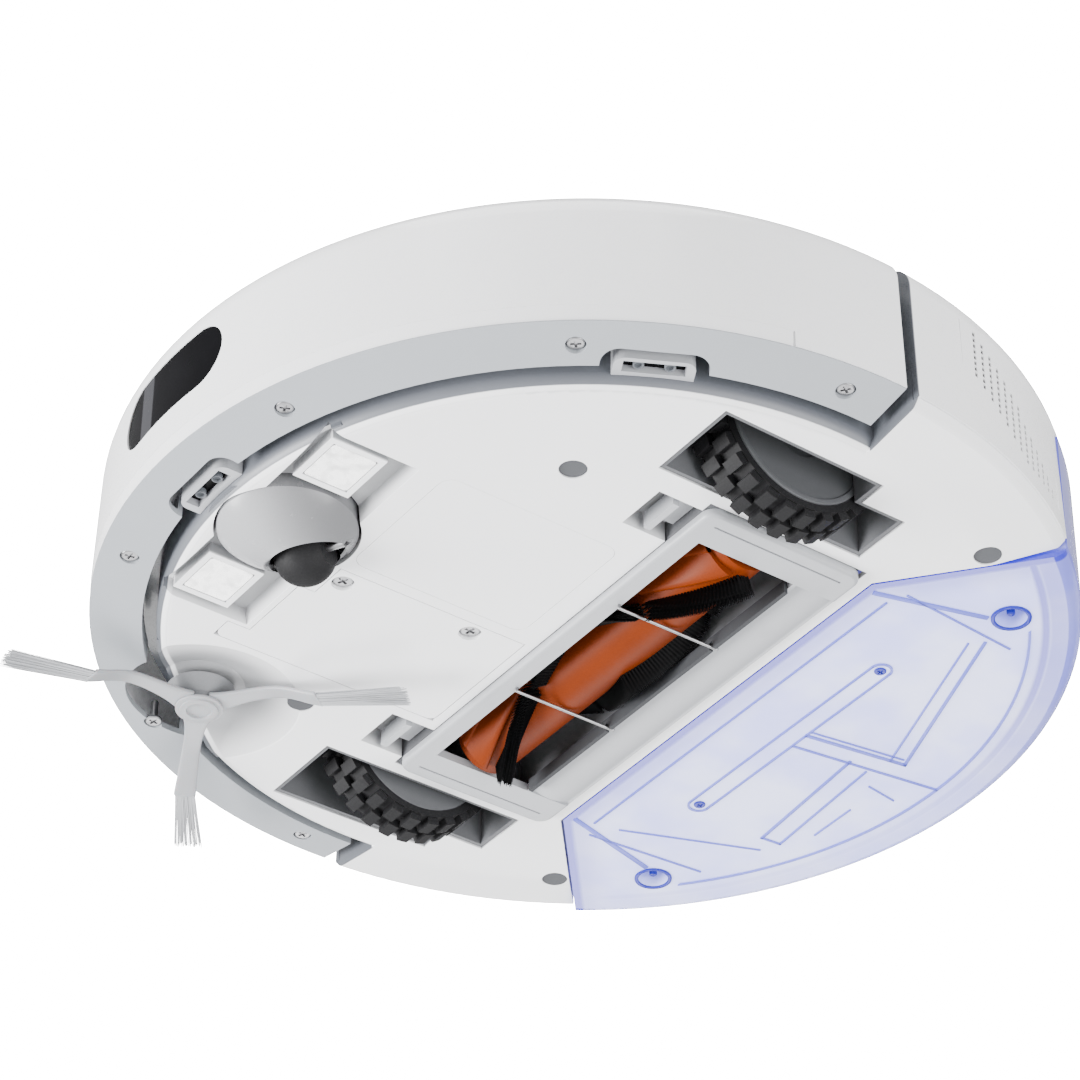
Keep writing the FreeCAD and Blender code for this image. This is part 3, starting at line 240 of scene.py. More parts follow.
@dataclass(frozen=True)
class Moulding:
    """Moulded plastic or rubber: a base colour with faint mottling, fine grain and scuffs."""

    name: str
    colour: Colour
    roughness: float = 0.4
    grain: float = 2600.0
    relief: float = 0.00002
    mottling: float = 0.05
    scuffs: float = 0.12
    coat: float = 0.0
    subsurface: float = 0.0
    alpha: float = 1.0
    specular: float = 0.5
    mottle_waves: float = 18.0
    scuff_waves: float = 160.0
    scuff_edge: Span = (0.56, 0.78)
    specks_a_metre: float = 900.0
    speck_edge: Span = (0.05, 0.02)

    def material(self) -> bpy.types.Material:
        """Builds the finish.

        Returns:
            The material.
        """
        graph = Graph(self.name)
        wide = graph.noise(self.mottle_waves, 3.0)
        fine = graph.noise(self.grain, 2.0)
        rubbed = graph.step(graph.noise(self.scuff_waves, 5.0), *self.scuff_edge)
        low = darker(self.colour, 1.0 - self.mottling * 2.4)
        shade = wide * 0.6 + fine * 0.4
        colour = graph.mix(graph.step(shade, 0.3, 0.7), low, self.colour)
        specks = graph.step(graph.cells(self.specks_a_metre), *self.speck_edge)
        colour = graph.mix(specks * (self.mottling * 2.0), colour, darker(self.colour, 0.5))
        colour = self.tint(graph, colour)
        roughness = self.roughness + rubbed * self.scuffs + (fine - 0.5) * 0.06
        return graph.finish(
            Base_Color=colour,
            Roughness=roughness,
            Normal=graph.bump(fine, self.relief),
            Coat_Weight=self.coat,
            Coat_Roughness=0.08,
            Subsurface_Weight=self.subsurface,
            Subsurface_Scale=0.004,
            Specular_IOR_Level=self.specular,
            Alpha=self.alpha,
        )

    def tint(self, graph: Graph, colour: Signal) -> Signal:
        """The colour as it is, for finishes that are the same all over."""
        return colour


@dataclass(frozen=True)
class GapShadeMoulding(Moulding):
    """Moulded plastic with shade painted in the bumper's gap and towards the bottom of recesses."""

    # The gap's grey is painted shade between bumper and chassis.
    gap_shade_colour: Colour = (0.11, 0.118, 0.135)
    gap_radius: Span = (0.1490, 0.1494)
    gap_back: Span = (0.0086, 0.0084)
    # The recesses' grey is painted shade, a thin line along each lip and darker deeper down.
    recess: Span = (0.0131, 0.0185)
    recess_shade_colour: Colour = (0.13, 0.135, 0.145)
    recess_radius: Span = (0.1478, 0.1470)
    recess_lip_shade: Band = (-0.00005, 0.0002, 0.28)
    recess_shade_strength: float = 0.50

    def tint(self, graph: Graph, colour: Signal) -> Signal:
        """Paints shade into the bumper's gap and into the recesses.

        Args:
            graph: The material's nodes.
            colour: The plastic's own colour.

        Returns:
            The colour over the whole piece.
        """
        x, y, z = graph.axes()
        radius = graph.radius(x, y)
        # Painted shade inside the gap between bumper and chassis.
        gap_shade = graph.step(radius, *self.gap_radius) * graph.step(y, *self.gap_back)
        # Painted shade: a thin line at each recess's lip, and darker towards the bottom.
        start, end, share = self.recess_lip_shade
        lip_shade = graph.fade(z, (self.recess[0] + start, self.recess[0] + end, share))
        deep = lip_shade + graph.fade(z, (*self.recess, self.recess_shade_strength))
        deep = deep * graph.step(radius, *self.recess_radius)
        colour = graph.mix(deep, colour, self.recess_shade_colour)
        return graph.mix(gap_shade, colour, self.gap_shade_colour)


@dataclass(frozen=True)
class GrilleMoulding(Moulding):
    """Moulded plastic with shade painted inside its slots."""

    face: Span = (0.1739, 0.1736)
    slot_shade_colour: Colour = (0.004, 0.004, 0.005)

    def tint(self, graph: Graph, colour: Signal) -> Signal:
        """The colour, with shade painted behind the grille's face."""
        x, y, _ = graph.axes()
        # Painted shade in the slots behind the grille's face.
        return graph.mix(graph.step(graph.radius(x, y), *self.face), colour, self.slot_shade_colour)


@dataclass(frozen=True)
class SwivelMoulding(Moulding):
    """Satin silver plastic with shade painted in the hollow round the ball and on one side of the
    dome.
    """

    hollow: Span = (0.0152, 0.0140)
    hollow_shade_colour: Colour = (0.025, 0.026, 0.03)
    dome_middle: float = -0.124
    shade: Band = (-0.008, 0.020, 0.75)
    shade_way: Span = (0.92, 0.4)
    shade_share: float = 0.28

    def tint(self, graph: Graph, colour: Signal) -> Signal:
        """Paints shade into the hollow near the ball and onto one side of the dome.

        Args:
            graph: The material's nodes.
            colour: The plastic's own colour.

        Returns:
            The colour over the whole piece.
        """
        low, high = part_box("caster_ball")
        inputs = {0: graph.place, 1: (low + high) / 2}
        offset = graph.node("ShaderNodeVectorMath", {"operation": "SUBTRACT"}, inputs)
        length = {"operation": "LENGTH"}
        distance = graph.node("ShaderNodeVectorMath", length, {0: offset}, output=1)
        x, y, _ = graph.axes()
        # Painted shade: one side of the dome darker than the other.
        sideways = x * self.shade_way[0] + (y - self.dome_middle) * self.shade_way[1]
        shade = graph.fade(sideways, self.shade)
        colour = graph.mix(shade, colour, darker(self.colour, self.shade_share))
        # Painted shade in the hollow round the ball.
        return graph.mix(graph.step(distance, *self.hollow), colour, self.hollow_shade_colour)


@dataclass(frozen=True)
class Metal:
    """Plated or brushed metal with fine directional lines and dull patches."""

    name: str
    colour: Colour
    roughness: float = 0.28
    stretch: Point = (1.0, 1.0, 12.0)
    metallic: float = 1.0
    line_waves: float = 1400.0
    dull_waves: float = 220.0
    dull_edge: Span = (0.45, 0.75)

    def material(self) -> bpy.types.Material:
        """Builds the finish.

        Returns:
            The material.
        """
        graph = Graph(self.name)
        inputs = {"Vector": graph.place, "Scale": self.stretch}
        place = graph.node("ShaderNodeMapping", inputs=inputs)
        lines = graph.noise(self.line_waves, 3.0, place)
        dull = graph.step(graph.noise(self.dull_waves, 4.0), *self.dull_edge)
        worn = lines * 0.35 + dull * 0.2
        colour = graph.mix(worn, self.colour, darker(self.colour, 0.62))
        return graph.finish(
            Base_Color=colour,
            Roughness=self.roughness + lines * 0.12 + dull * 0.14,
            Metallic=self.metallic,
            Normal=graph.bump(lines, 0.00001),
        )


@dataclass(frozen=True)
class TankPlastic:
    """Tinted clear plastic that looks deeper along the box's walls and inner edges, with painted
    shade and a painted glow.

    Each band is where the deeper tint starts and ends, in metres from an edge, and its strength.
    """

    name: str
    pale: Colour = (0.44, 0.48, 0.98)
    cloudy: Colour = (0.64, 0.68, 1.0)
    deep: Colour = (0.018, 0.016, 0.42)
    front: float = 0.0557
    shoulder: float = 0.0916
    slope: Span = (-0.6397, 0.7687)
    radius: float = 0.1746
    opacity: float = 0.74
    # Emission strength: painted light, since the box is no lamp.
    glow: float = 0.46
    # Where the painted shade on the walls runs from weak at -X to full at +X.
    side_shade_run: Span = (-0.05, 0.09)
    line: Band = (0.0058, 0.0024, 1.0)
    soft: Band = (0.0170, 0.0040, 0.46)
    wall: Band = (0.0128, 0.0102, 0.72)
    ledge: Band = (0.0026, 0.0006, 0.95)
    outline: Band = (0.0016, 0.0004, 0.85)
    upright: Span = (0.0150, 0.0185)
    upright_line: float = 0.38
    upright_depth: float = 0.36

    def material(self) -> bpy.types.Material:
        """Builds the finish.

        Returns:
            The material.
        """
        graph = Graph(self.name)
        x, y, z = graph.axes()
        ahead = y - self.front
        across = (abs(x) - self.shoulder) * self.slope[0] + ahead * self.slope[1]
        edge = ahead.math("MINIMUM", across)
        rim = self.radius - graph.radius(x, y)
        # Painted shade: the walls' tint is deeper towards +X, though the box is the same on both
        # sides.
        side_shade = graph.step(x, *self.side_shade_run) * 0.7 + 0.3
        cloud = graph.noise(26.0, 3.0)
        upright = graph.step(z, *self.upright)
        depth = graph.fade(edge, self.line) * (1.0 - upright * (1.0 - self.upright_line))
        for layer in (
            graph.fade(edge, self.soft),
            graph.fade(rim, self.wall) * side_shade,
            graph.fade(abs(rim - self.wall[0]), self.ledge) * side_shade,
            graph.fade(rim, self.outline),
            upright * self.upright_depth,
        ):
            depth = depth.math("MAXIMUM", layer)
        body = graph.mix(graph.step(cloud, 0.35, 0.65), self.pale, self.cloudy)
        colour = graph.mix(depth, body, self.deep)
        fine = graph.noise(420.0, 4.0)
        return graph.finish(
            Base_Color=colour,
            Roughness=0.10 + graph.step(fine, 0.5, 0.9) * 0.16,
            Alpha=depth * (1.0 - self.opacity) + self.opacity,
            # Painted light: the box glows in its own colour.
            Emission_Color=colour,
            Emission_Strength=self.glow,
            Normal=graph.bump(cloud + fine * 0.1, 0.0002),
            IOR=1.5,
            Coat_Weight=0.4,
            Coat_Roughness=0.04,
        )


@dataclass(frozen=True)
class SmokedWindow:
    """Polished dark plastic with a paler upright band where the emitter sits."""

    name: str
    left_edge: Span = (-0.0195, -0.0183)
    right_edge: Span = (-0.0103, -0.0115)
    dark: Colour = (0.0015, 0.0015, 0.002)
    hazy: Colour = (0.005, 0.005, 0.006)
    emitter: Colour = (0.045, 0.045, 0.05)

    def material(self) -> bpy.types.Material:
        """Builds the finish.

        Returns:
            The material.
        """
        graph = Graph(self.name)
        x, _, _ = graph.axes()
        band = graph.step(x, *self.left_edge) * graph.step(x, *self.right_edge)
        haze = graph.noise(60.0, 3.0)
        colour = graph.mix(haze, self.dark, self.hazy)
        colour = graph.mix(band * 0.85, colour, self.emitter)
        smears = graph.step(graph.noise(90.0, 5.0), 0.5, 0.8)
        return graph.finish(
            Base_Color=colour,
            Roughness=0.24 + smears * 0.12,
            Specular_IOR_Level=0.03,
            Normal=graph.bump(haze, 0.00003),
        )


GLOSSY_WHITE: Colour = (0.92, 0.925, 0.94)
SATIN_WHITE: Colour = (0.90, 0.905, 0.92)
# Heights where recess shade is painted: none on the body, the contact pockets on the bezels.
NO_RECESS: Span = (0.2, 0.3)
BEZEL_RECESS: Span = (0.0141, 0.0150)


class Finish(Enum):
    """Every finish on the robot, by the record's material slot where it has one."""

    SHELL = Moulding("shell_white", GLOSSY_WHITE, 0.28, mottling=0.008, coat=0.2)
    BODY = GapShadeMoulding(
        "body_white", GLOSSY_WHITE, 0.28, mottling=0.008, coat=0.2, recess=NO_RECESS
    )
    UNDERSIDE = Moulding("underside_white", SATIN_WHITE, 0.42, 1800.0, 0.00002, 0.012)
    FLOOR_PAN = GapShadeMoulding("floor_pan_white", SATIN_WHITE, 0.42, 1800.0, 0.00002, 0.012)
    BEZEL = GapShadeMoulding("bezel_white", SATIN_WHITE, 0.4, mottling=0.01, recess=BEZEL_RECESS)
    GRILLE = GrilleMoulding("grille_white", GLOSSY_WHITE, 0.28, mottling=0.008, coat=0.2)
    RING = Moulding("ring_grey", (0.33, 0.35, 0.375), 0.36, mottling=0.02, specular=0.3)
    BAND = Moulding("band_grey", (0.12, 0.13, 0.145), 0.5, specular=0.3)
    WELL = Moulding("well_grey", (0.115, 0.118, 0.126), 0.5, relief=0.00004, specular=0.25)
    GUARD = Moulding("guard_grey", (0.36, 0.37, 0.39), 0.34, mottling=0.015, specular=0.4)
    LINER = Moulding("liner_grey", (0.04, 0.042, 0.046), 0.55, relief=0.00004, specular=0.2)
    TYRE = Moulding(
        "tyre_black", (0.008, 0.008, 0.009), 0.66, 1500.0, 0.00008, 0.1, 0.15, specular=0.22
    )
    RIM = Moulding("rim_grey", (0.085, 0.088, 0.094), 0.36, specular=0.3)
    SWIVEL = SwivelMoulding("swivel_grey", (0.36, 0.365, 0.38), 0.24)
    HUB = Moulding("hub_grey", (0.18, 0.185, 0.195), 0.35, specular=0.35)
    ORANGE = Moulding("brush_orange", (0.16, 0.023, 0.0015), 0.46, mottling=0.12, specular=0.12)
    BRISTLE = Moulding(
        "bristle_black", (0.003, 0.003, 0.0035), 0.6, mottling=0.2, specular=0.15
    )
    WHITE_BRISTLE = Moulding("bristle_white", (0.42, 0.43, 0.45), 0.42)
    ELASTOMER = Moulding("arm_white", (0.34, 0.35, 0.37), 0.36, subsurface=0.1)
    PLUG = Moulding("plug_rubber", (0.075, 0.078, 0.085), 0.6, specular=0.2)
    BOARD = Moulding("board_green", (0.02, 0.12, 0.05), 0.4)
    BATTERY = Moulding("battery_blue", (0.03, 0.06, 0.2), 0.3, coat=0.3)
    FILTER = Moulding("filter_paper", (0.80, 0.79, 0.72), 0.9, 900.0, 0.0001)
    STEEL = Metal("steel", (0.34, 0.34, 0.35))
    CONTACT = Metal("contact_metal", (0.98, 0.98, 0.975), 0.22, (1.0, 14.0, 1.0), 0.85)
    TANK = TankPlastic("tank_blue")
    WINDOW = SmokedWindow("window_black")
    EDGE = Moulding(
        "tank_edge", (0.014, 0.018, 0.34), 0.2, mottling=0.05, alpha=0.92, specular=0.2
    )
    RIB = Moulding(
        "tank_rib", (0.13, 0.15, 0.66), 0.2, mottling=0.04, alpha=0.78, specular=0.2
    )
    LAMP = Moulding("status_lamp", (0.35, 0.62, 0.95), 0.25, coat=0.5)


OWN_FINISHES: Mapping[str, Finish] = {
    "mid_shell": Finish.BODY,
    "bottom_chassis": Finish.FLOOR_PAN,
    "contact_bezels": Finish.BEZEL,
    "sweeper_hub": Finish.HUB,
    "exhaust_grille": Finish.GRILLE,
    "brush_chamber": Finish.WELL,
    "power_button": Finish.RING,
    "home_button": Finish.RING,
}


class Wardrobe:
    """Builds each finish once and puts it on parts."""

    def __init__(self) -> None:
        """Starts with no finish built."""
        self.made: dict[Finish, bpy.types.Material] = {}

    def material(self, finish: Finish) -> bpy.types.Material:
        """Finds a finish's material, which is built the first time.

        Args:
            finish: The finish.

        Returns:
            Its material.
        """
        if finish not in self.made:
            self.made[finish] = finish.value.material()
        return self.made[finish]

    def dress(self, part: Part, finish: Finish) -> Part:
        """Gives a part its finish.

        Args:
            part: The part.
            finish: What it is made of.

        Returns:
            The part.
        """
        material = self.material(finish)
        if not part.material_slots:
            part.data.materials.append(material)
        for slot in part.material_slots:
            slot.material = material
        return part

    def dress_nodes(self) -> None:
        """Dresses every CAD node in its own finish, or else by its slot in the record."""
        by_name = {finish.value.name: finish for finish in Finish}
        for row in frame["record"]["subparts"]:
            name = row["node"]
            finish = OWN_FINISHES.get(name) or by_name[row["material_slot"]]
            self.dress(frame["nodes"][name], finish)


# ------------------------------------------------------------------ modelling
SHARP_EDGE = 32.0
SMOOTH_BELOW = 35.0
SIDEWAYS: Point = (0, math.pi / 2, 0)


class Bench:
    """Modelling by Blender's operators, one object at a time."""

    @staticmethod
    def clear() -> None:
        """Deselects everything."""
        if bpy.context.object and bpy.context.object.mode != "OBJECT":
            bpy.ops.object.mode_set(mode="OBJECT")
        bpy.ops.object.select_all(action="DESELECT")

    @classmethod
    def pick(cls, *parts: Part) -> Part:
        """Selects parts and makes the first one active.

        Args:
            parts: The parts.

        Returns:
            The first part.
        """
        cls.clear()
        for part in parts:
            part.select_set(True)
        bpy.context.view_layer.objects.active = parts[0]
        return parts[0]

    @classmethod
    def drum(
        cls, radius: float, depth: float, centre: Point, turn: Point = (0, 0, 0), sides: int = 48
    ) -> Part:
        """Adds a round bar.

        Args:
            radius: Its radius.
            depth: Its length, along Z before its turn.
            centre: Its middle.
            turn: Its Euler angles.
            sides: How many flats it has.

        Returns:
            The bar.
        """
        cls.clear()
        bpy.ops.mesh.primitive_cylinder_add(
            vertices=sides, radius=radius, depth=depth, location=centre, rotation=turn
        )
        return bpy.context.object

    @classmethod
    def block(cls, size: Point, centre: Point, turn: Point = (0, 0, 0)) -> Part:
        """Adds a box.

        Args:
            size: Its sizes before its turn.
            centre: Its middle.
            turn: Its Euler angles.

        Returns:
            The box.
        """
        cls.clear()
        bpy.ops.mesh.primitive_cube_add(size=1.0, location=centre, rotation=turn, scale=size)
        bpy.ops.object.transform_apply(location=False, rotation=False, scale=True)
        return bpy.context.object

    @classmethod
    def spike(cls, low: float, high: float, depth: float, centre: Point, turn: Point) -> Part:
        """Adds a thin tapered filament with three sides.

        Args:
            low: Its radius at the root.
            high: Its radius at the tip.
            depth: Its length, along Z before its turn.
            centre: Its middle.
            turn: Its Euler angles.

        Returns:
            The filament.
        """
        cls.clear()
        bpy.ops.mesh.primitive_cone_add(
            vertices=3, radius1=low, radius2=high, depth=depth, location=centre, rotation=turn
        )
        return bpy.context.object

    @classmethod
    def faces(cls, part: Part, chosen: FaceTest) -> None:
        """Enters edit mode with only the chosen faces selected.

        Args:
            part: The part to edit.
            chosen: Tells whether a face is chosen.
        """
        cls.pick(part)
        bpy.ops.object.mode_set(mode="EDIT")
        bpy.ops.mesh.select_mode(type="FACE")
        bpy.ops.mesh.select_all(action="DESELECT")
        mesh = bmesh.from_edit_mesh(part.data)
        for face in mesh.faces:
            face.select_set(chosen(face))
        bmesh.update_edit_mesh(part.data)

    @staticmethod
    def leave() -> None:
        """Goes back to object mode."""
        bpy.ops.object.mode_set(mode="OBJECT")

    @classmethod
    def rim(cls, part: Part, chosen: FaceTest, steps: Sequence[Span]) -> Part:
        """Insets and extrudes chosen faces.

        Args:
            part: The part to edit.
            chosen: Tells whether a face is chosen.
            steps: The inset and the height of each step in turn.

        Returns:
            The part.
        """
        cls.faces(part, chosen)
        for inset, height in steps:
            if inset:
                bpy.ops.mesh.inset(thickness=inset, depth=0.0)
            if height:
                bpy.ops.mesh.extrude_region_shrink_fatten(
                    TRANSFORM_OT_shrink_fatten={"value": height}
                )
        cls.leave()
        return part

    @classmethod
    def modify(cls, part: Part, kind: str, **settings: object) -> Part:
        """Adds a modifier and applies it.

        Args:
            part: The part to change.
            kind: The modifier's type.
            settings: The modifier's settings.

        Returns:
            The part.
        """
        cls.pick(part)
        modifier = part.modifiers.new(kind.lower(), kind)
        for key, value in settings.items():
            setattr(modifier, key, value)
        bpy.ops.object.modifier_apply(modifier=modifier.name)
        return part

    @classmethod
    def soften(cls, part: Part, width: float, segments: int = 2) -> Part:
        """Rounds a part's sharp edges."""
        limit = {"limit_method": "ANGLE", "angle_limit": math.radians(SHARP_EDGE)}
        return cls.modify(part, "BEVEL", width=width, segments=segments, **limit)

    @classmethod
    def carve(cls, part: Part, tool: Part) -> Part:
        """Takes a tool's shape away from a part and deletes the tool.

        Args:
            part: The part to cut.
            tool: The shape to take away.

        Returns:
            The part.
        """
        cls.modify(part, "BOOLEAN", operation="DIFFERENCE", object=tool, solver="EXACT")
        bpy.data.objects.remove(tool)
        return part

    @classmethod
    def copy(cls, part: Part, matrix: Matrix) -> Part:
        """Copies a part with its own mesh.

        Args:
            part: The part.
            matrix: Where the copy moves.

        Returns:
            The copy.
        """
        twin = part.copy()
        twin.data = part.data.copy()
        bpy.context.scene.collection.objects.link(twin)
        twin.matrix_world = matrix @ part.matrix_world
        return twin

    @classmethod
    def join(cls, parts: Sequence[Part]) -> Part:
        """Joins parts.

        Args:
            parts: The parts.

        Returns:
            The first part, with the others in it.
        """
        cls.pick(*parts)
        if len(parts) > 1:
            bpy.ops.object.join()
        return bpy.context.object

    @classmethod
    def settle(cls, part: Part, name: str, angle: float = SMOOTH_BELOW) -> Part:
        """Names a piece, puts its place into its mesh and shades it.

        Args:
            part: The modelled piece.
            name: Its name.
            angle: Edges sharper than this many degrees stay sharp.

        Returns:
            The piece.
        """
        cls.pick(part)
        part.name = part.data.name = name
        bpy.ops.object.transform_apply(location=True, rotation=True, scale=True)
        bpy.ops.object.shade_smooth_by_angle(angle=math.radians(angle))
        return part


def around(centre: Point, degrees: float) -> Matrix:
    """A turn about the upright through a point.

    Args:
        centre: The point.
        degrees: The angle.

    Returns:
        The matrix.
    """
    middle = Vector(centre)
    turn = Matrix.Rotation(math.radians(degrees), 4, "Z")
    return Matrix.Translation(middle) @ turn @ Matrix.Translation(-middle)


def polar(radius: float, degrees: float, height: float = 0.0) -> Vector:
    """A point at a radius and an angle from the robot's front, towards +X."""
    turn = math.radians(degrees)
    return Vector((radius * math.sin(turn), -radius * math.cos(turn), height))


def points_down(face: bmesh.types.BMFace) -> bool:
    """Whether a face looks at the floor."""
    return face.normal.z < -0.9


def points_up(face: bmesh.types.BMFace) -> bool:
    """Whether a face looks up."""
    return face.normal.z > 0.9


@dataclass
class Assembly:
    """A group of pieces with a common wardrobe."""

    wardrobe: Wardrobe
    pieces: list[str] = field(default_factory=list, init=False)

    def keep(
        self, part: Part, finish: Finish, body: str, *nodes: str, slot: str | None = None
    ) -> None:
        """Dresses a finished piece and puts it on its body.

        Args:
            part: The piece.
            finish: What it is made of.
            body: The CAD body it rides on.
            nodes: The CAD nodes it stands for.
            slot: The record's slot, where it isn't the finish's own name. Not used.
        """
        self.wardrobe.dress(part, finish)
        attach(part, body)
        if nodes:
            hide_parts(*nodes)
        self.pieces.append(part.name)

    def report(self) -> None:
        """Logs what the assembly holds."""
        LOG.info("%s: %s", type(self).__name__, ", ".join(self.pieces))


@dataclass
class Screws(Assembly):
    """Cross-head screws, modelled once and copied to each seat."""

    shank: float = 1.4 * MM
    ring_radius: float = 164.5 * MM
    ring_angles: tuple[float, ...] = (-85.2, -53.2, -17.6, 17.6, 53.2, 85.2)
    ring_size: Point = (3.1, 1.4, 8.5)
    door_spots: tuple[Span, ...] = ((-14.0, -92.6), (-12.8, -40.4))
    door_size: Point = (3.6, 1.5, 5.5)

    def blank(self, radius: float, depth: float, length: float) -> Part:
        """Models one screw with its head's face down, at the origin.

        Args:
            radius: The head's radius.
            depth: The head's height.
            length: The shank's length.

        Returns:
            The screw.
        """
        head = Bench.drum(radius, depth, (0, 0, depth / 2), sides=32)
        Bench.rim(head, points_down, [(radius * 0.18, 0.0)])
        Bench.rim(head, points_up, [(radius - self.shank, 0.0), (0.0, length)])
        Bench.soften(head, radius * 0.16, 3)
        cross = Bench.block((radius * 1.15, radius * 0.30, depth), (0, 0, 0))
        other = Bench.block((radius * 0.30, radius * 1.15, depth), (0, 0, 0))
        Bench.carve(head, cross)
        return Bench.carve(head, other)

    def build(self) -> None:
        """Makes the bumper ring's and the battery door's screws."""
        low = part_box("bumper_screws")[0].z
        seats = [polar(self.ring_radius, angle, low) for angle in self.ring_angles]
        self.place("bumper_screw_heads", seats, self.ring_size, "bumper", "bumper_screws")
        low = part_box("battery_door_screws")[0].z
        seats = [Vector((x * MM, y * MM, low)) for x, y in self.door_spots]
        self.place("door_screw_heads", seats, self.door_size, "chassis", "battery_door_screws")

    def place(
        self,
        name: str,
        seats: Sequence[Vector],
        size: Point,
        body: str,
        *nodes: str,
        finish: Finish = Finish.STEEL,
    ) -> None:
        """Copies a screw to each seat.

        Args:
            name: The joined screws' name.
            seats: The middle of each head's face.
            size: The head's radius and height and the whole length, in mm.
            body: The CAD body they ride on.
            nodes: The CAD nodes they stand for.
            finish: What they are made of.
        """
        blank = self.blank(size[0] * MM, size[1] * MM, (size[2] - 1.0) * MM)
        copies = []
        for number, seat in enumerate(seats):
            turn = Matrix.Rotation(0.4 + 1.3 * number, 4, "Z")
            copies.append(Bench.copy(blank, Matrix.Translation(seat) @ turn))
        bpy.data.objects.remove(blank)
        slot = "tank_blue" if finish is Finish.EDGE else None
        self.keep(Bench.settle(Bench.join(copies), name), finish, body, *nodes, slot=slot)


@dataclass
class Roller(Assembly):
    """The bristle roller: rounded helical lobes and dense rows of black filaments."""

    back: float = 10.75 * MM
    height: float = 22.0 * MM
    core: float = 12.5 * MM
    tip: float = 20.4 * MM
    half: float = 73.0 * MM
    twist: float = 120.0
    steps: int = 58
    filaments: int = 24
    row_starts: Span = (75.0, 212.0)
    row_width: float = 3.0 * MM
    lobe_starts: Span = (330.0, 15.0)
    lobe_size: Span = (8.6 * MM, 2.7 * MM)
    lobe_sink: float = 1.0 * MM
    lobe_steps: int = 44
    wires: Span = (-26.95 * MM, 34.65 * MM)
    wire_gap: float = 1.5 * MM
    groove_radius: float = 18.0 * MM
    groove_width: float = 2.4 * MM

    def build(self) -> None:
        """Makes the lobes and the bristles."""
        self.keep(self.lobes(), Finish.ORANGE, "roller")
        self.keep(self.bristles(), Finish.BRISTLE, "roller", "roller_bristles")

    def lobes(self) -> Part:
        """Sweeps rounded helical lobes along the core.

        Returns:
            The lobes.
        """
        strips = []
        for start in self.lobe_starts:
            for way in (1.0, -1.0):
                Bench.clear()
                bpy.ops.mesh.primitive_circle_add(vertices=20, radius=1.0, rotation=SIDEWAYS)
                strip = bpy.context.object
                bpy.ops.transform.resize(value=(1.0, *self.lobe_size))
                bpy.ops.object.transform_apply(location=False, rotation=True, scale=True)
                strip.data.transform(Matrix.Translation((0, 0, self.core - self.lobe_sink)))
                Bench.modify(
                    strip,
                    "SCREW",
                    axis="X",
                    angle=math.radians(self.twist),
                    screw_offset=way * self.half,
                    steps=self.lobe_steps,
                    render_steps=self.lobe_steps,
                )
                Bench.pick(strip)
                bpy.ops.object.mode_set(mode="EDIT")
                bpy.ops.mesh.select_all(action="SELECT")
                bpy.ops.mesh.fill_holes(sides=0)
                bpy.ops.mesh.normals_make_consistent(inside=False)
                Bench.leave()
                Bench.carve(strip, self.groove(self.wires[way > 0]))
                turn = Matrix.Rotation(math.radians(start), 4, "X")
                strip.matrix_world = Matrix.Translation((0, self.back, self.height)) @ turn
                strips.append(strip)
        return Bench.settle(Bench.join(strips), "roller_lobes", 60.0)

    def groove(self, across: float) -> Part:
        """Models the ring of room that a lobe leaves for a guard wire.

        Args:
            across: The wire's place along the roller.

        Returns:
            The ring.
        """
        spot = (across, 0, 0)
        ring = Bench.drum(self.groove_radius, self.groove_width, spot, SIDEWAYS, 96)
        return Bench.carve(ring, Bench.drum(self.core + 0.1 * MM, 6.0 * MM, spot, SIDEWAYS, 96))

    def clump(self, way: float) -> Part:
        """Models one slice of a bristle row, which leans a little outwards.

        Args:
            way: 1 for the half towards +X, -1 for the other.

        Returns:
            The slice, about the roller's axis.
        """
        chance = random.Random(7)
        strands = []
        for _ in range(self.filaments):
            length = self.tip - self.core + chance.uniform(-1.4, 0.0) * MM
            side = chance.uniform(-1.0, 1.0)
            along = chance.uniform(-0.7, 0.7) * MM
            spot = (along, side * self.row_width, self.core - 0.2 * MM + length / 2)
            splay = -side * 0.16 + chance.uniform(-0.1, 0.1)
            lean = (splay, way * chance.uniform(-0.03, 0.12), 0.0)
            strands.append(Bench.spike(0.27 * MM, 0.13 * MM, length, spot, lean))
        return Bench.settle(Bench.join(strands), "clump", 30.0)

    def bristles(self) -> Part:
        """Models two V-shaped rows of clumps, parted where the guard's wires run.

        Returns:
            The rows.
        """
        home = Matrix.Translation((0, self.back, self.height))
        copies = []
        for way in (1.0, -1.0):
            clump = self.clump(way)
            for start in self.row_starts:
                for number in range(self.steps):
                    along = (number + 0.5) / self.steps
                    across = way * along * self.half
                    if min(abs(across - wire) for wire in self.wires) < self.wire_gap:
                        continue
                    turn = Matrix.Rotation(math.radians(start + self.twist * along), 4, "X")
                    place = home @ Matrix.Translation((across, 0, 0)) @ turn
                    copies.append(Bench.copy(clump, place))
            bpy.data.objects.remove(clump)
        return Bench.settle(Bench.join(copies), "roller_bristle_rows", 30.0)


# Along an arm, in mm: distance from the hub's middle, height, width and depth.
ARM_PATH = (
    (6.8, 11.9, 11.0, 2.0),
    (11.0, 11.9, 8.4, 1.8),
    (19.0, 12.0, 6.6, 1.7),
    (28.0, 11.7, 6.6, 1.7),
    (35.0, 9.6, 7.0, 1.7),
    (41.0, 6.2, 7.6, 1.8),
    (47.0, 3.8, 8.4, 2.0),
)


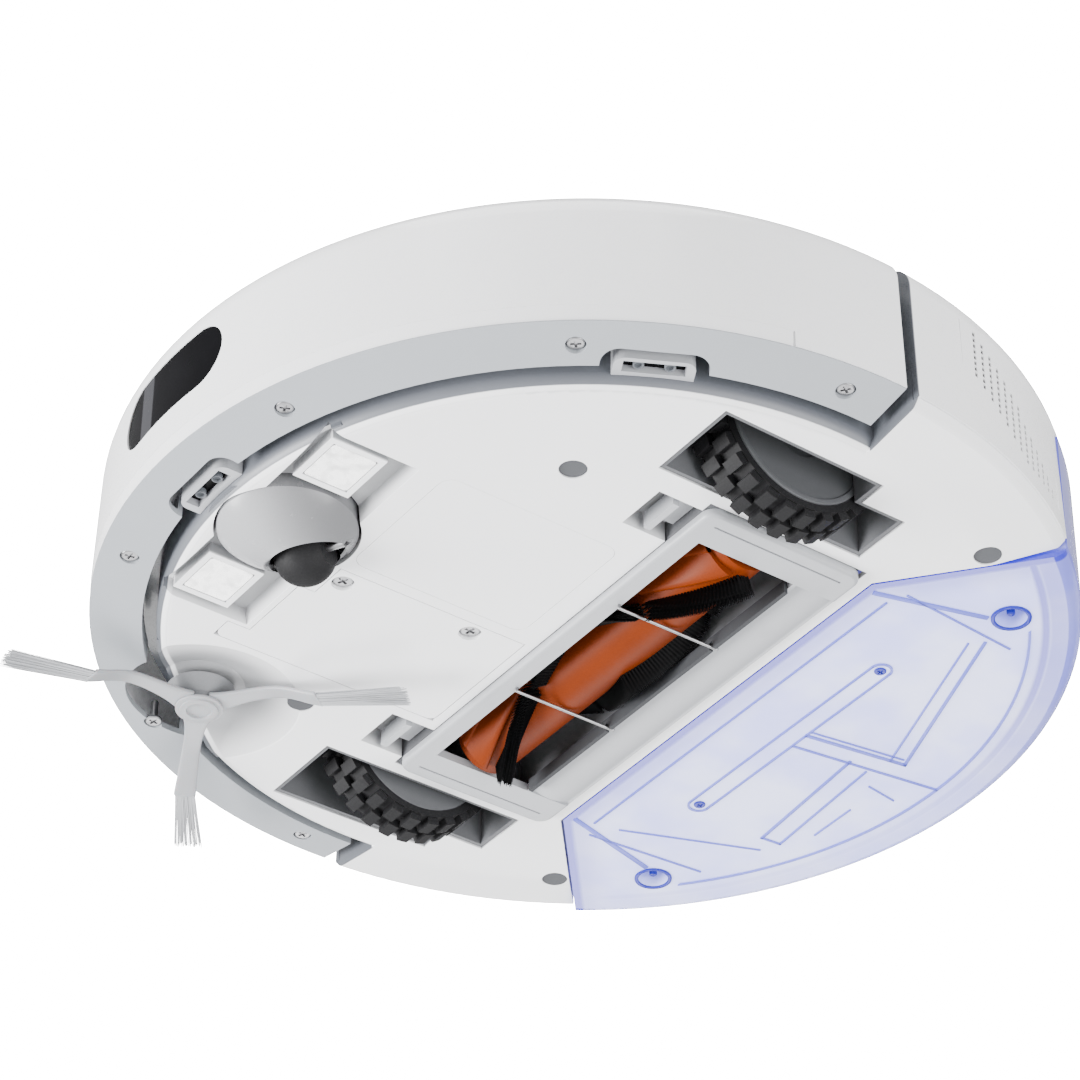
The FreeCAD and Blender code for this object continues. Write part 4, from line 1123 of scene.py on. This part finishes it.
@dataclass
class SideBrush(Assembly):
    """The sweeper: soft arms and flared white tufts, with a round flanged cap on the hub."""

    side: float = -104.7 * MM
    back: float = -95.0 * MM
    turn: float = 4.7
    bends: Point = (-14.0, 11.0, -8.0)
    elbow: float = -46.4 * MM
    filaments: int = 150
    tuft_half: float = 3.6 * MM
    tuft_height: float = 3.7
    tuft_length: Span = (30.0, 33.0)
    tuft_fan: float = 0.055
    tuft_drop: Span = (0.045, 0.068)
    cap_height: float = 10.45 * MM

    def build(self) -> None:
        """Makes the arms, the tufts and the hub's cap."""
        self.keep(self.cap(), Finish.ELASTOMER, "sweeper")
        arm, tuft = self.arm(), self.tuft()
        centre = Matrix.Translation((self.side, self.back, 0))
        degrees = [self.turn + 120 * number for number in range(3)]
        turns = [centre @ Matrix.Rotation(math.radians(angle), 4, "Z") for angle in degrees]
        arms = Bench.join([Bench.copy(arm, turn) for turn in turns])
        bent = [turn @ around((0, self.elbow, 0), bend) for turn, bend in zip(turns, self.bends)]
        tufts = Bench.join([Bench.copy(tuft, place) for place in bent])
        bpy.data.objects.remove(arm)
        bpy.data.objects.remove(tuft)
        arms = Bench.settle(arms, "sweeper_soft_arms", 60.0)
        self.keep(arms, Finish.ELASTOMER, "sweeper", "sweeper_arms")
        tufts = Bench.settle(tufts, "sweeper_bristles", 30.0)
        self.keep(tufts, Finish.WHITE_BRISTLE, "sweeper", "sweeper_tufts")

    def arm(self) -> Part:
        """Models one arm that runs forward from the hub's middle.

        Returns:
            The arm.
        """
        reach, height, width, depth = ARM_PATH[0]
        spot = (0, -(reach - 0.5) * MM, height * MM)
        part = Bench.block((width * MM, 1.0 * MM, depth * MM), spot)
        Bench.faces(part, lambda f: f.normal.y < -0.9)
        for before, after in zip(ARM_PATH, ARM_PATH[1:]):
            move = (0, -(after[0] - before[0]) * MM, (after[1] - before[1]) * MM)
            bpy.ops.mesh.extrude_region_move(TRANSFORM_OT_translate={"value": move})
            bpy.ops.transform.resize(value=(after[2] / before[2], 1.0, after[3] / before[3]))
        Bench.leave()
        Bench.soften(part, 0.6 * MM)
        return Bench.modify(part, "SUBSURF", levels=1, render_levels=1)

    def cap(self) -> Part:
        """Models the white flanged cap with its screw hole.

        Returns:
            The cap.
        """
        cap = Bench.drum(8.6 * MM, 1.0 * MM, (self.side, self.back, self.cap_height), sides=64)
        flange = [(1.2 * MM, 0.0), (0.5 * MM, 0.7 * MM)]
        hole = [(2.0 * MM, 0.0), (0.3 * MM, -0.9 * MM)]
        Bench.rim(cap, points_down, flange + hole)
        Bench.soften(cap, 0.2 * MM)
        return Bench.settle(cap, "sweeper_cap")

    def tuft(self) -> Part:
        """Models one flared tuft beyond the arm's end.

        Returns:
            The tuft.
        """
        chance = random.Random(11)
        strands = []
        for _ in range(self.filaments):
            spread = chance.uniform(-1.0, 1.0)
            length = chance.uniform(*self.tuft_length) * MM
            fan = spread * self.tuft_fan + chance.uniform(-0.012, 0.012)
            drop = chance.uniform(*self.tuft_drop)
            height = (self.tuft_height + chance.uniform(-0.45, 0.45)) * MM
            root = Vector((spread * self.tuft_half, self.elbow, height))
            way = Vector((math.sin(fan), -math.cos(fan), -drop)).normalized()
            middle = root + way * (length / 2)
            angles = way.to_track_quat("Z", "Y").to_euler()
            strands.append(Bench.spike(0.20 * MM, 0.10 * MM, length, middle, angles))
        return Bench.join(strands)


@dataclass
class Wheels(Assembly):
    """The drive wheels' caps, each turned in steps like the moulded one."""

    height: float = 34.0 * MM
    inner: float = 106.0 * MM
    width: float = 17.1 * MM
    radius: float = 28.1 * MM

    def build(self) -> None:
        """Makes both wheel caps."""
        for name, side in (("left", 1.0), ("right", -1.0)):
            middle = (side * (self.inner + self.width / 2), 0.0, self.height)
            cap = Bench.drum(self.radius, self.width, middle, (0, side * math.pi / 2, 0), 96)
            step = [(1.6 * MM, 0.0), (0.5 * MM, -0.6 * MM)]
            dish = [(16.0 * MM, 0.0), (0.6 * MM, -0.5 * MM)]
            Bench.rim(cap, points_up, step + dish)
            Bench.soften(cap, 0.9 * MM, 3)
            piece = Bench.settle(cap, "wheel_cap_" + name)
            self.keep(piece, Finish.RIM, "wheel_" + name, "wheel_rim_" + name)


# Bars on the rear box, in mm: (x, y) of both ends, and width.
RELIEF = (
    ((-53.4, 86.9), (53.4, 86.9), 0.9),
    ((-53.4, 94.7), (53.4, 94.7), 0.9),
    ((5.9, 94.9), (11.9, 135.9), 1.5),
    ((8.6, 94.9), (14.2, 133.4), 0.7),
    ((11.9, 135.9), (87.8, 109.7), 1.3),
    ((10.9, 129.9), (84.0, 105.2), 0.8),
    ((-2.3, 95.0), (6.0, 156.1), 1.0),
    ((-57.6, 123.7), (1.7, 118.3), 1.2),
    ((-57.0, 131.8), (0.0, 127.2), 0.9),
    ((-57.6, 123.7), (-57.0, 131.8), 1.0),
    ((-6.9, 134.4), (-8.9, 147.5), 0.7),
    ((-44.4, 138.6), (-23.3, 138.5), 0.7),
    ((88.4, 60.0), (99.6, 100.0), 2.0),
    ((-88.4, 60.0), (-99.6, 100.0), 2.0),
    ((-86.0, 66.5), (86.0, 66.5), 0.8),
    ((-93.7, 69.9), (-90.1, 119.0), 0.8),
    ((93.7, 69.9), (90.1, 119.0), 0.8),
    ((-84.4, 77.0), (-64.7, 128.2), 0.7),
)


@dataclass
class Tank(Assembly):
    """Relief on the rear box: bars, ribs, a recessed frame, socket collars and screws."""

    low: float = 13.1 * MM
    proud: float = 0.45 * MM
    sunk: float = 0.4 * MM
    long_bar: Span = (53.4 * MM, 90.8 * MM)
    long_bar_screws: float = 53.0 * MM
    screw_size: Point = (2.2, 1.0, 2.0)
    hoop_outer: float = 156.6 * MM
    hoop_inner: float = 155.6 * MM
    hoop_front: float = 118.0 * MM
    socket: Span = (104.5 * MM, 107.5 * MM)
    socket_bore: float = 5.65 * MM

    @property
    def middle(self) -> float:
        """The height of the relief's middle."""
        return self.low - self.proud / 2 + self.sunk / 2

    def build(self) -> None:
        """Makes the relief, the socket collars with their pins, and the screws."""
        bars = [self.bar(*run) for run in RELIEF] + [self.bar_end(side) for side in (1.0, -1.0)]
        relief = Bench.settle(Bench.join(bars), "tank_relief")
        self.keep(relief, Finish.RIB, "tank", slot="tank_blue")
        self.keep(Bench.settle(self.hoop(), "tank_hoop"), Finish.RIB, "tank", slot="tank_blue")
        collars = Bench.join([self.collar(side) for side in (1.0, -1.0)])
        collars = Bench.settle(collars, "socket_collars")
        self.keep(collars, Finish.EDGE, "tank", slot="tank_blue")
        low = self.low - self.proud - 0.1 * MM
        sides = (-self.long_bar_screws, self.long_bar_screws)
        seats = [Vector((x, self.long_bar[1], low)) for x in sides]
        screws = Screws(self.wardrobe)
        screws.place("tank_screw_heads", seats, self.screw_size, "tank", finish=Finish.EDGE)

    def bar_end(self, side: float) -> Part:
        """Models the half-round end of the long screw bar's outline.

        Args:
            side: 1 for the end towards +X, -1 for the other.

        Returns:
            The end.
        """
        centre = Vector((side * self.long_bar[0], self.long_bar[1], self.middle))
        ring = Bench.drum(4.35 * MM, self.proud + self.sunk, centre, sides=48)
        Bench.carve(ring, Bench.drum(3.45 * MM, 4.0 * MM, centre, sides=48))
        inner = centre - Vector((side * 5.0 * MM, 0, 0))
        return Bench.carve(ring, Bench.block((10.0 * MM, 12.0 * MM, 4.0 * MM), inner))

    def hoop(self) -> Part:
        """Models the curved rib that follows the round wall inside.

        Returns:
            The rib.
        """
        centre = (0, 0, self.middle)
        ring = Bench.drum(self.hoop_outer, self.proud + self.sunk, centre, sides=192)
        Bench.carve(ring, Bench.drum(self.hoop_inner, 4.0 * MM, centre, sides=192))
        wide = 400.0 * MM
        ahead = (0, self.hoop_front - wide / 2, self.middle)
        return Bench.carve(ring, Bench.block((wide, wide, 4.0 * MM), ahead))

    def bar(self, start: Span, end: Span, width: float) -> Part:
        """Models a rounded bar.

        Args:
            start: One end's x and y in mm.
            end: The other end's.
            width: Its width in mm.

        Returns:
            The bar.
        """
        a, b = Vector((*start, 0)) * MM, Vector((*end, 0)) * MM
        run = b - a
        angle = math.atan2(run.y, run.x)
        middle = (a + b) / 2 + Vector((0, 0, self.middle))
        size = (run.length + width * MM, width * MM, self.proud + self.sunk)
        return Bench.soften(Bench.block(size, middle, (0, 0, angle)), 0.15 * MM)

    def collar(self, side: float) -> Part:
        """Models the dark ring round a mop socket, and the pin inside it.

        Args:
            side: 1 for the socket towards +X, -1 for the other.

        Returns:
            The ring with its pin.
        """
        across, back = side * self.socket[0], self.socket[1]
        centre = (across, back, self.low - 0.05 * MM)
        ring = Bench.drum(7.2 * MM, 0.9 * MM, centre, sides=64)
        Bench.carve(ring, Bench.drum(self.socket_bore, 4.0 * MM, centre, sides=64))
        pin = Bench.drum(1.5 * MM, 9.0 * MM, (across, back, self.low + 6.0 * MM), sides=28)
        return Bench.join([Bench.soften(ring, 0.25 * MM), Bench.soften(pin, 0.4 * MM)])


@dataclass
class Sensors(Assembly):
    """Lens tubes in the drop sensors."""

    reach: float = 155.4 * MM
    height: float = 19.0 * MM
    angles: Span = (0.0, 62.5)
    apart: float = 5.2 * MM

    def build(self) -> None:
        """Makes two tubes for each drop sensor."""
        tubes = []
        for angle in self.angles:
            for across in (-self.apart, self.apart):
                spot = Vector((across, -self.reach, self.height))
                tube = Bench.drum(1.9 * MM, 2.6 * MM, spot, sides=28)
                Bench.rim(tube, points_down, [(0.5 * MM, 0.0), (0.0, -1.2 * MM)])
                Bench.soften(tube, 0.15 * MM)
                tubes.append(Bench.copy(tube, around((0, 0, 0), angle)))
                bpy.data.objects.remove(tube)
        self.keep(Bench.settle(Bench.join(tubes), "sensor_tubes"), Finish.BAND, "chassis")


@dataclass
class Deck(Assembly):
    """The status lamp on the deck."""

    front: float = -103.0 * MM
    size: Point = (9.0 * MM, 1.6 * MM, 0.5 * MM)
    below_top: float = 0.75 * MM

    def build(self) -> None:
        """Makes the lamp between the buttons."""
        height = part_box("top_cover")[1].z - self.below_top
        lamp = Bench.block(self.size, (0, self.front, height))
        Bench.rim(lamp, points_up, [(0.25 * MM, 0.1 * MM)])
        Bench.soften(lamp, 0.3 * MM, 3)
        self.keep(Bench.settle(lamp, "status_lamp_bar"), Finish.LAMP, "chassis", slot="window_black")


# ------------------------------------------------------------------ studio
# Each light's name, place, size and power.
LIGHTS = (
    ("key", (-0.9, -2.0, -0.7), 1.2, 180.0),
    ("fill", (1.9, 0.6, -1.1), 1.6, 80.0),
    ("back", (-1.75, 1.25, -1.6), 1.3, 34.0),
    ("top", (0.6, -0.6, 1.9), 1.6, 60.0),
)


@dataclass
class Studio:
    """Pale floor far below, a bright backdrop above, soft lights, and the camera."""

    place: Point = (0.9210, -0.6657, -0.7926)
    right: Point = (0.5782101, 0.8158770, 0.0042287)
    up: Point = (0.4895732, -0.3510962, 0.7981538)
    look: Point = (-0.6526800, 0.4594304, 0.6024388)
    lens: float = 131.63
    shift: Span = (-0.0048, -0.0027)
    surround: float = 0.72
    backdrop: float = 30.0
    floor_height: float = -1.8

    def build(self) -> None:
        """Sets up the whole studio."""
        self.camera()
        self.world()
        self.floor()
        for light in LIGHTS:
            self.lamp(*light)

    def camera(self) -> None:
        """Adds the camera."""
        data = bpy.data.cameras.new("camera")
        data.lens = self.lens
        data.sensor_width = 36.0
        data.shift_x, data.shift_y = self.shift
        data.clip_start, data.clip_end = 0.05, 60.0
        camera = bpy.data.objects.new("camera", data)
        columns = (Vector(self.right), Vector(self.up), -Vector(self.look))
        turn = Matrix([[c[i] for c in columns] for i in range(3)]).to_4x4()
        camera.matrix_world = Matrix.Translation(self.place) @ turn
        bpy.context.scene.collection.objects.link(camera)
        bpy.context.scene.camera = camera

    def world(self) -> None:
        """A plain white surround."""
        world = bpy.data.worlds.new("surround")
        world.use_nodes = True
        back = world.node_tree.nodes["Background"]
        back.inputs[0].default_value = (1.0, 1.0, 1.0, 1.0)
        back.inputs[1].default_value = self.surround
        bpy.context.scene.world = world

    def floor(self) -> None:
        """A pale floor below, and a bright sheet above that only the camera sees."""
        Bench.clear()
        bpy.ops.mesh.primitive_plane_add(size=40.0, location=(0, 0, self.floor_height))
        floor = bpy.context.object
        floor.name = "floor"
        paint = Moulding("floor_paint", (0.84, 0.84, 0.84), 0.7, 60.0, 0.0005)
        floor.data.materials.append(paint.material())
        bpy.ops.mesh.primitive_plane_add(size=60.0, location=(0, 0, 6.0))
        sheet = bpy.context.object
        sheet.name = "backdrop"
        graph = Graph("backdrop_glow")
        inputs = {"Color": (1.0, 1.0, 1.0, 1.0), "Strength": self.backdrop}
        graph.node_output(graph.node("ShaderNodeEmission", inputs=inputs))
        sheet.data.materials.append(graph.material)
        sheet.visible_diffuse = sheet.visible_glossy = sheet.visible_shadow = False
        sheet.visible_transmission = sheet.visible_volume_scatter = False

    @staticmethod
    def lamp(name: str, place: Point, size: float, power: float) -> None:
        """Adds a square soft light aimed at the robot.

        Args:
            name: Its name.
            place: Where it stands.
            size: Its side.
            power: Its power in watts.
        """
        data = bpy.data.lights.new(name, "AREA")
        data.size = size
        data.energy = power
        lamp = bpy.data.objects.new(name, data)
        lamp.location = place
        lamp.rotation_euler = (-Vector(place)).to_track_quat("-Z", "Y").to_euler()
        bpy.context.scene.collection.objects.link(lamp)


def main() -> None:
    """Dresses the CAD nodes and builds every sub-assembly."""
    logging.basicConfig(level=logging.INFO, format="%(name)s: %(message)s")
    Bench.clear()
    wardrobe = Wardrobe()
    wardrobe.dress_nodes()
    Studio().build()
    for kind in (Screws, Roller, SideBrush, Wheels, Tank, Sensors, Deck):
        assembly = kind(wardrobe)
        assembly.build()
        assembly.report()


if __name__ == "__main__":
    main()
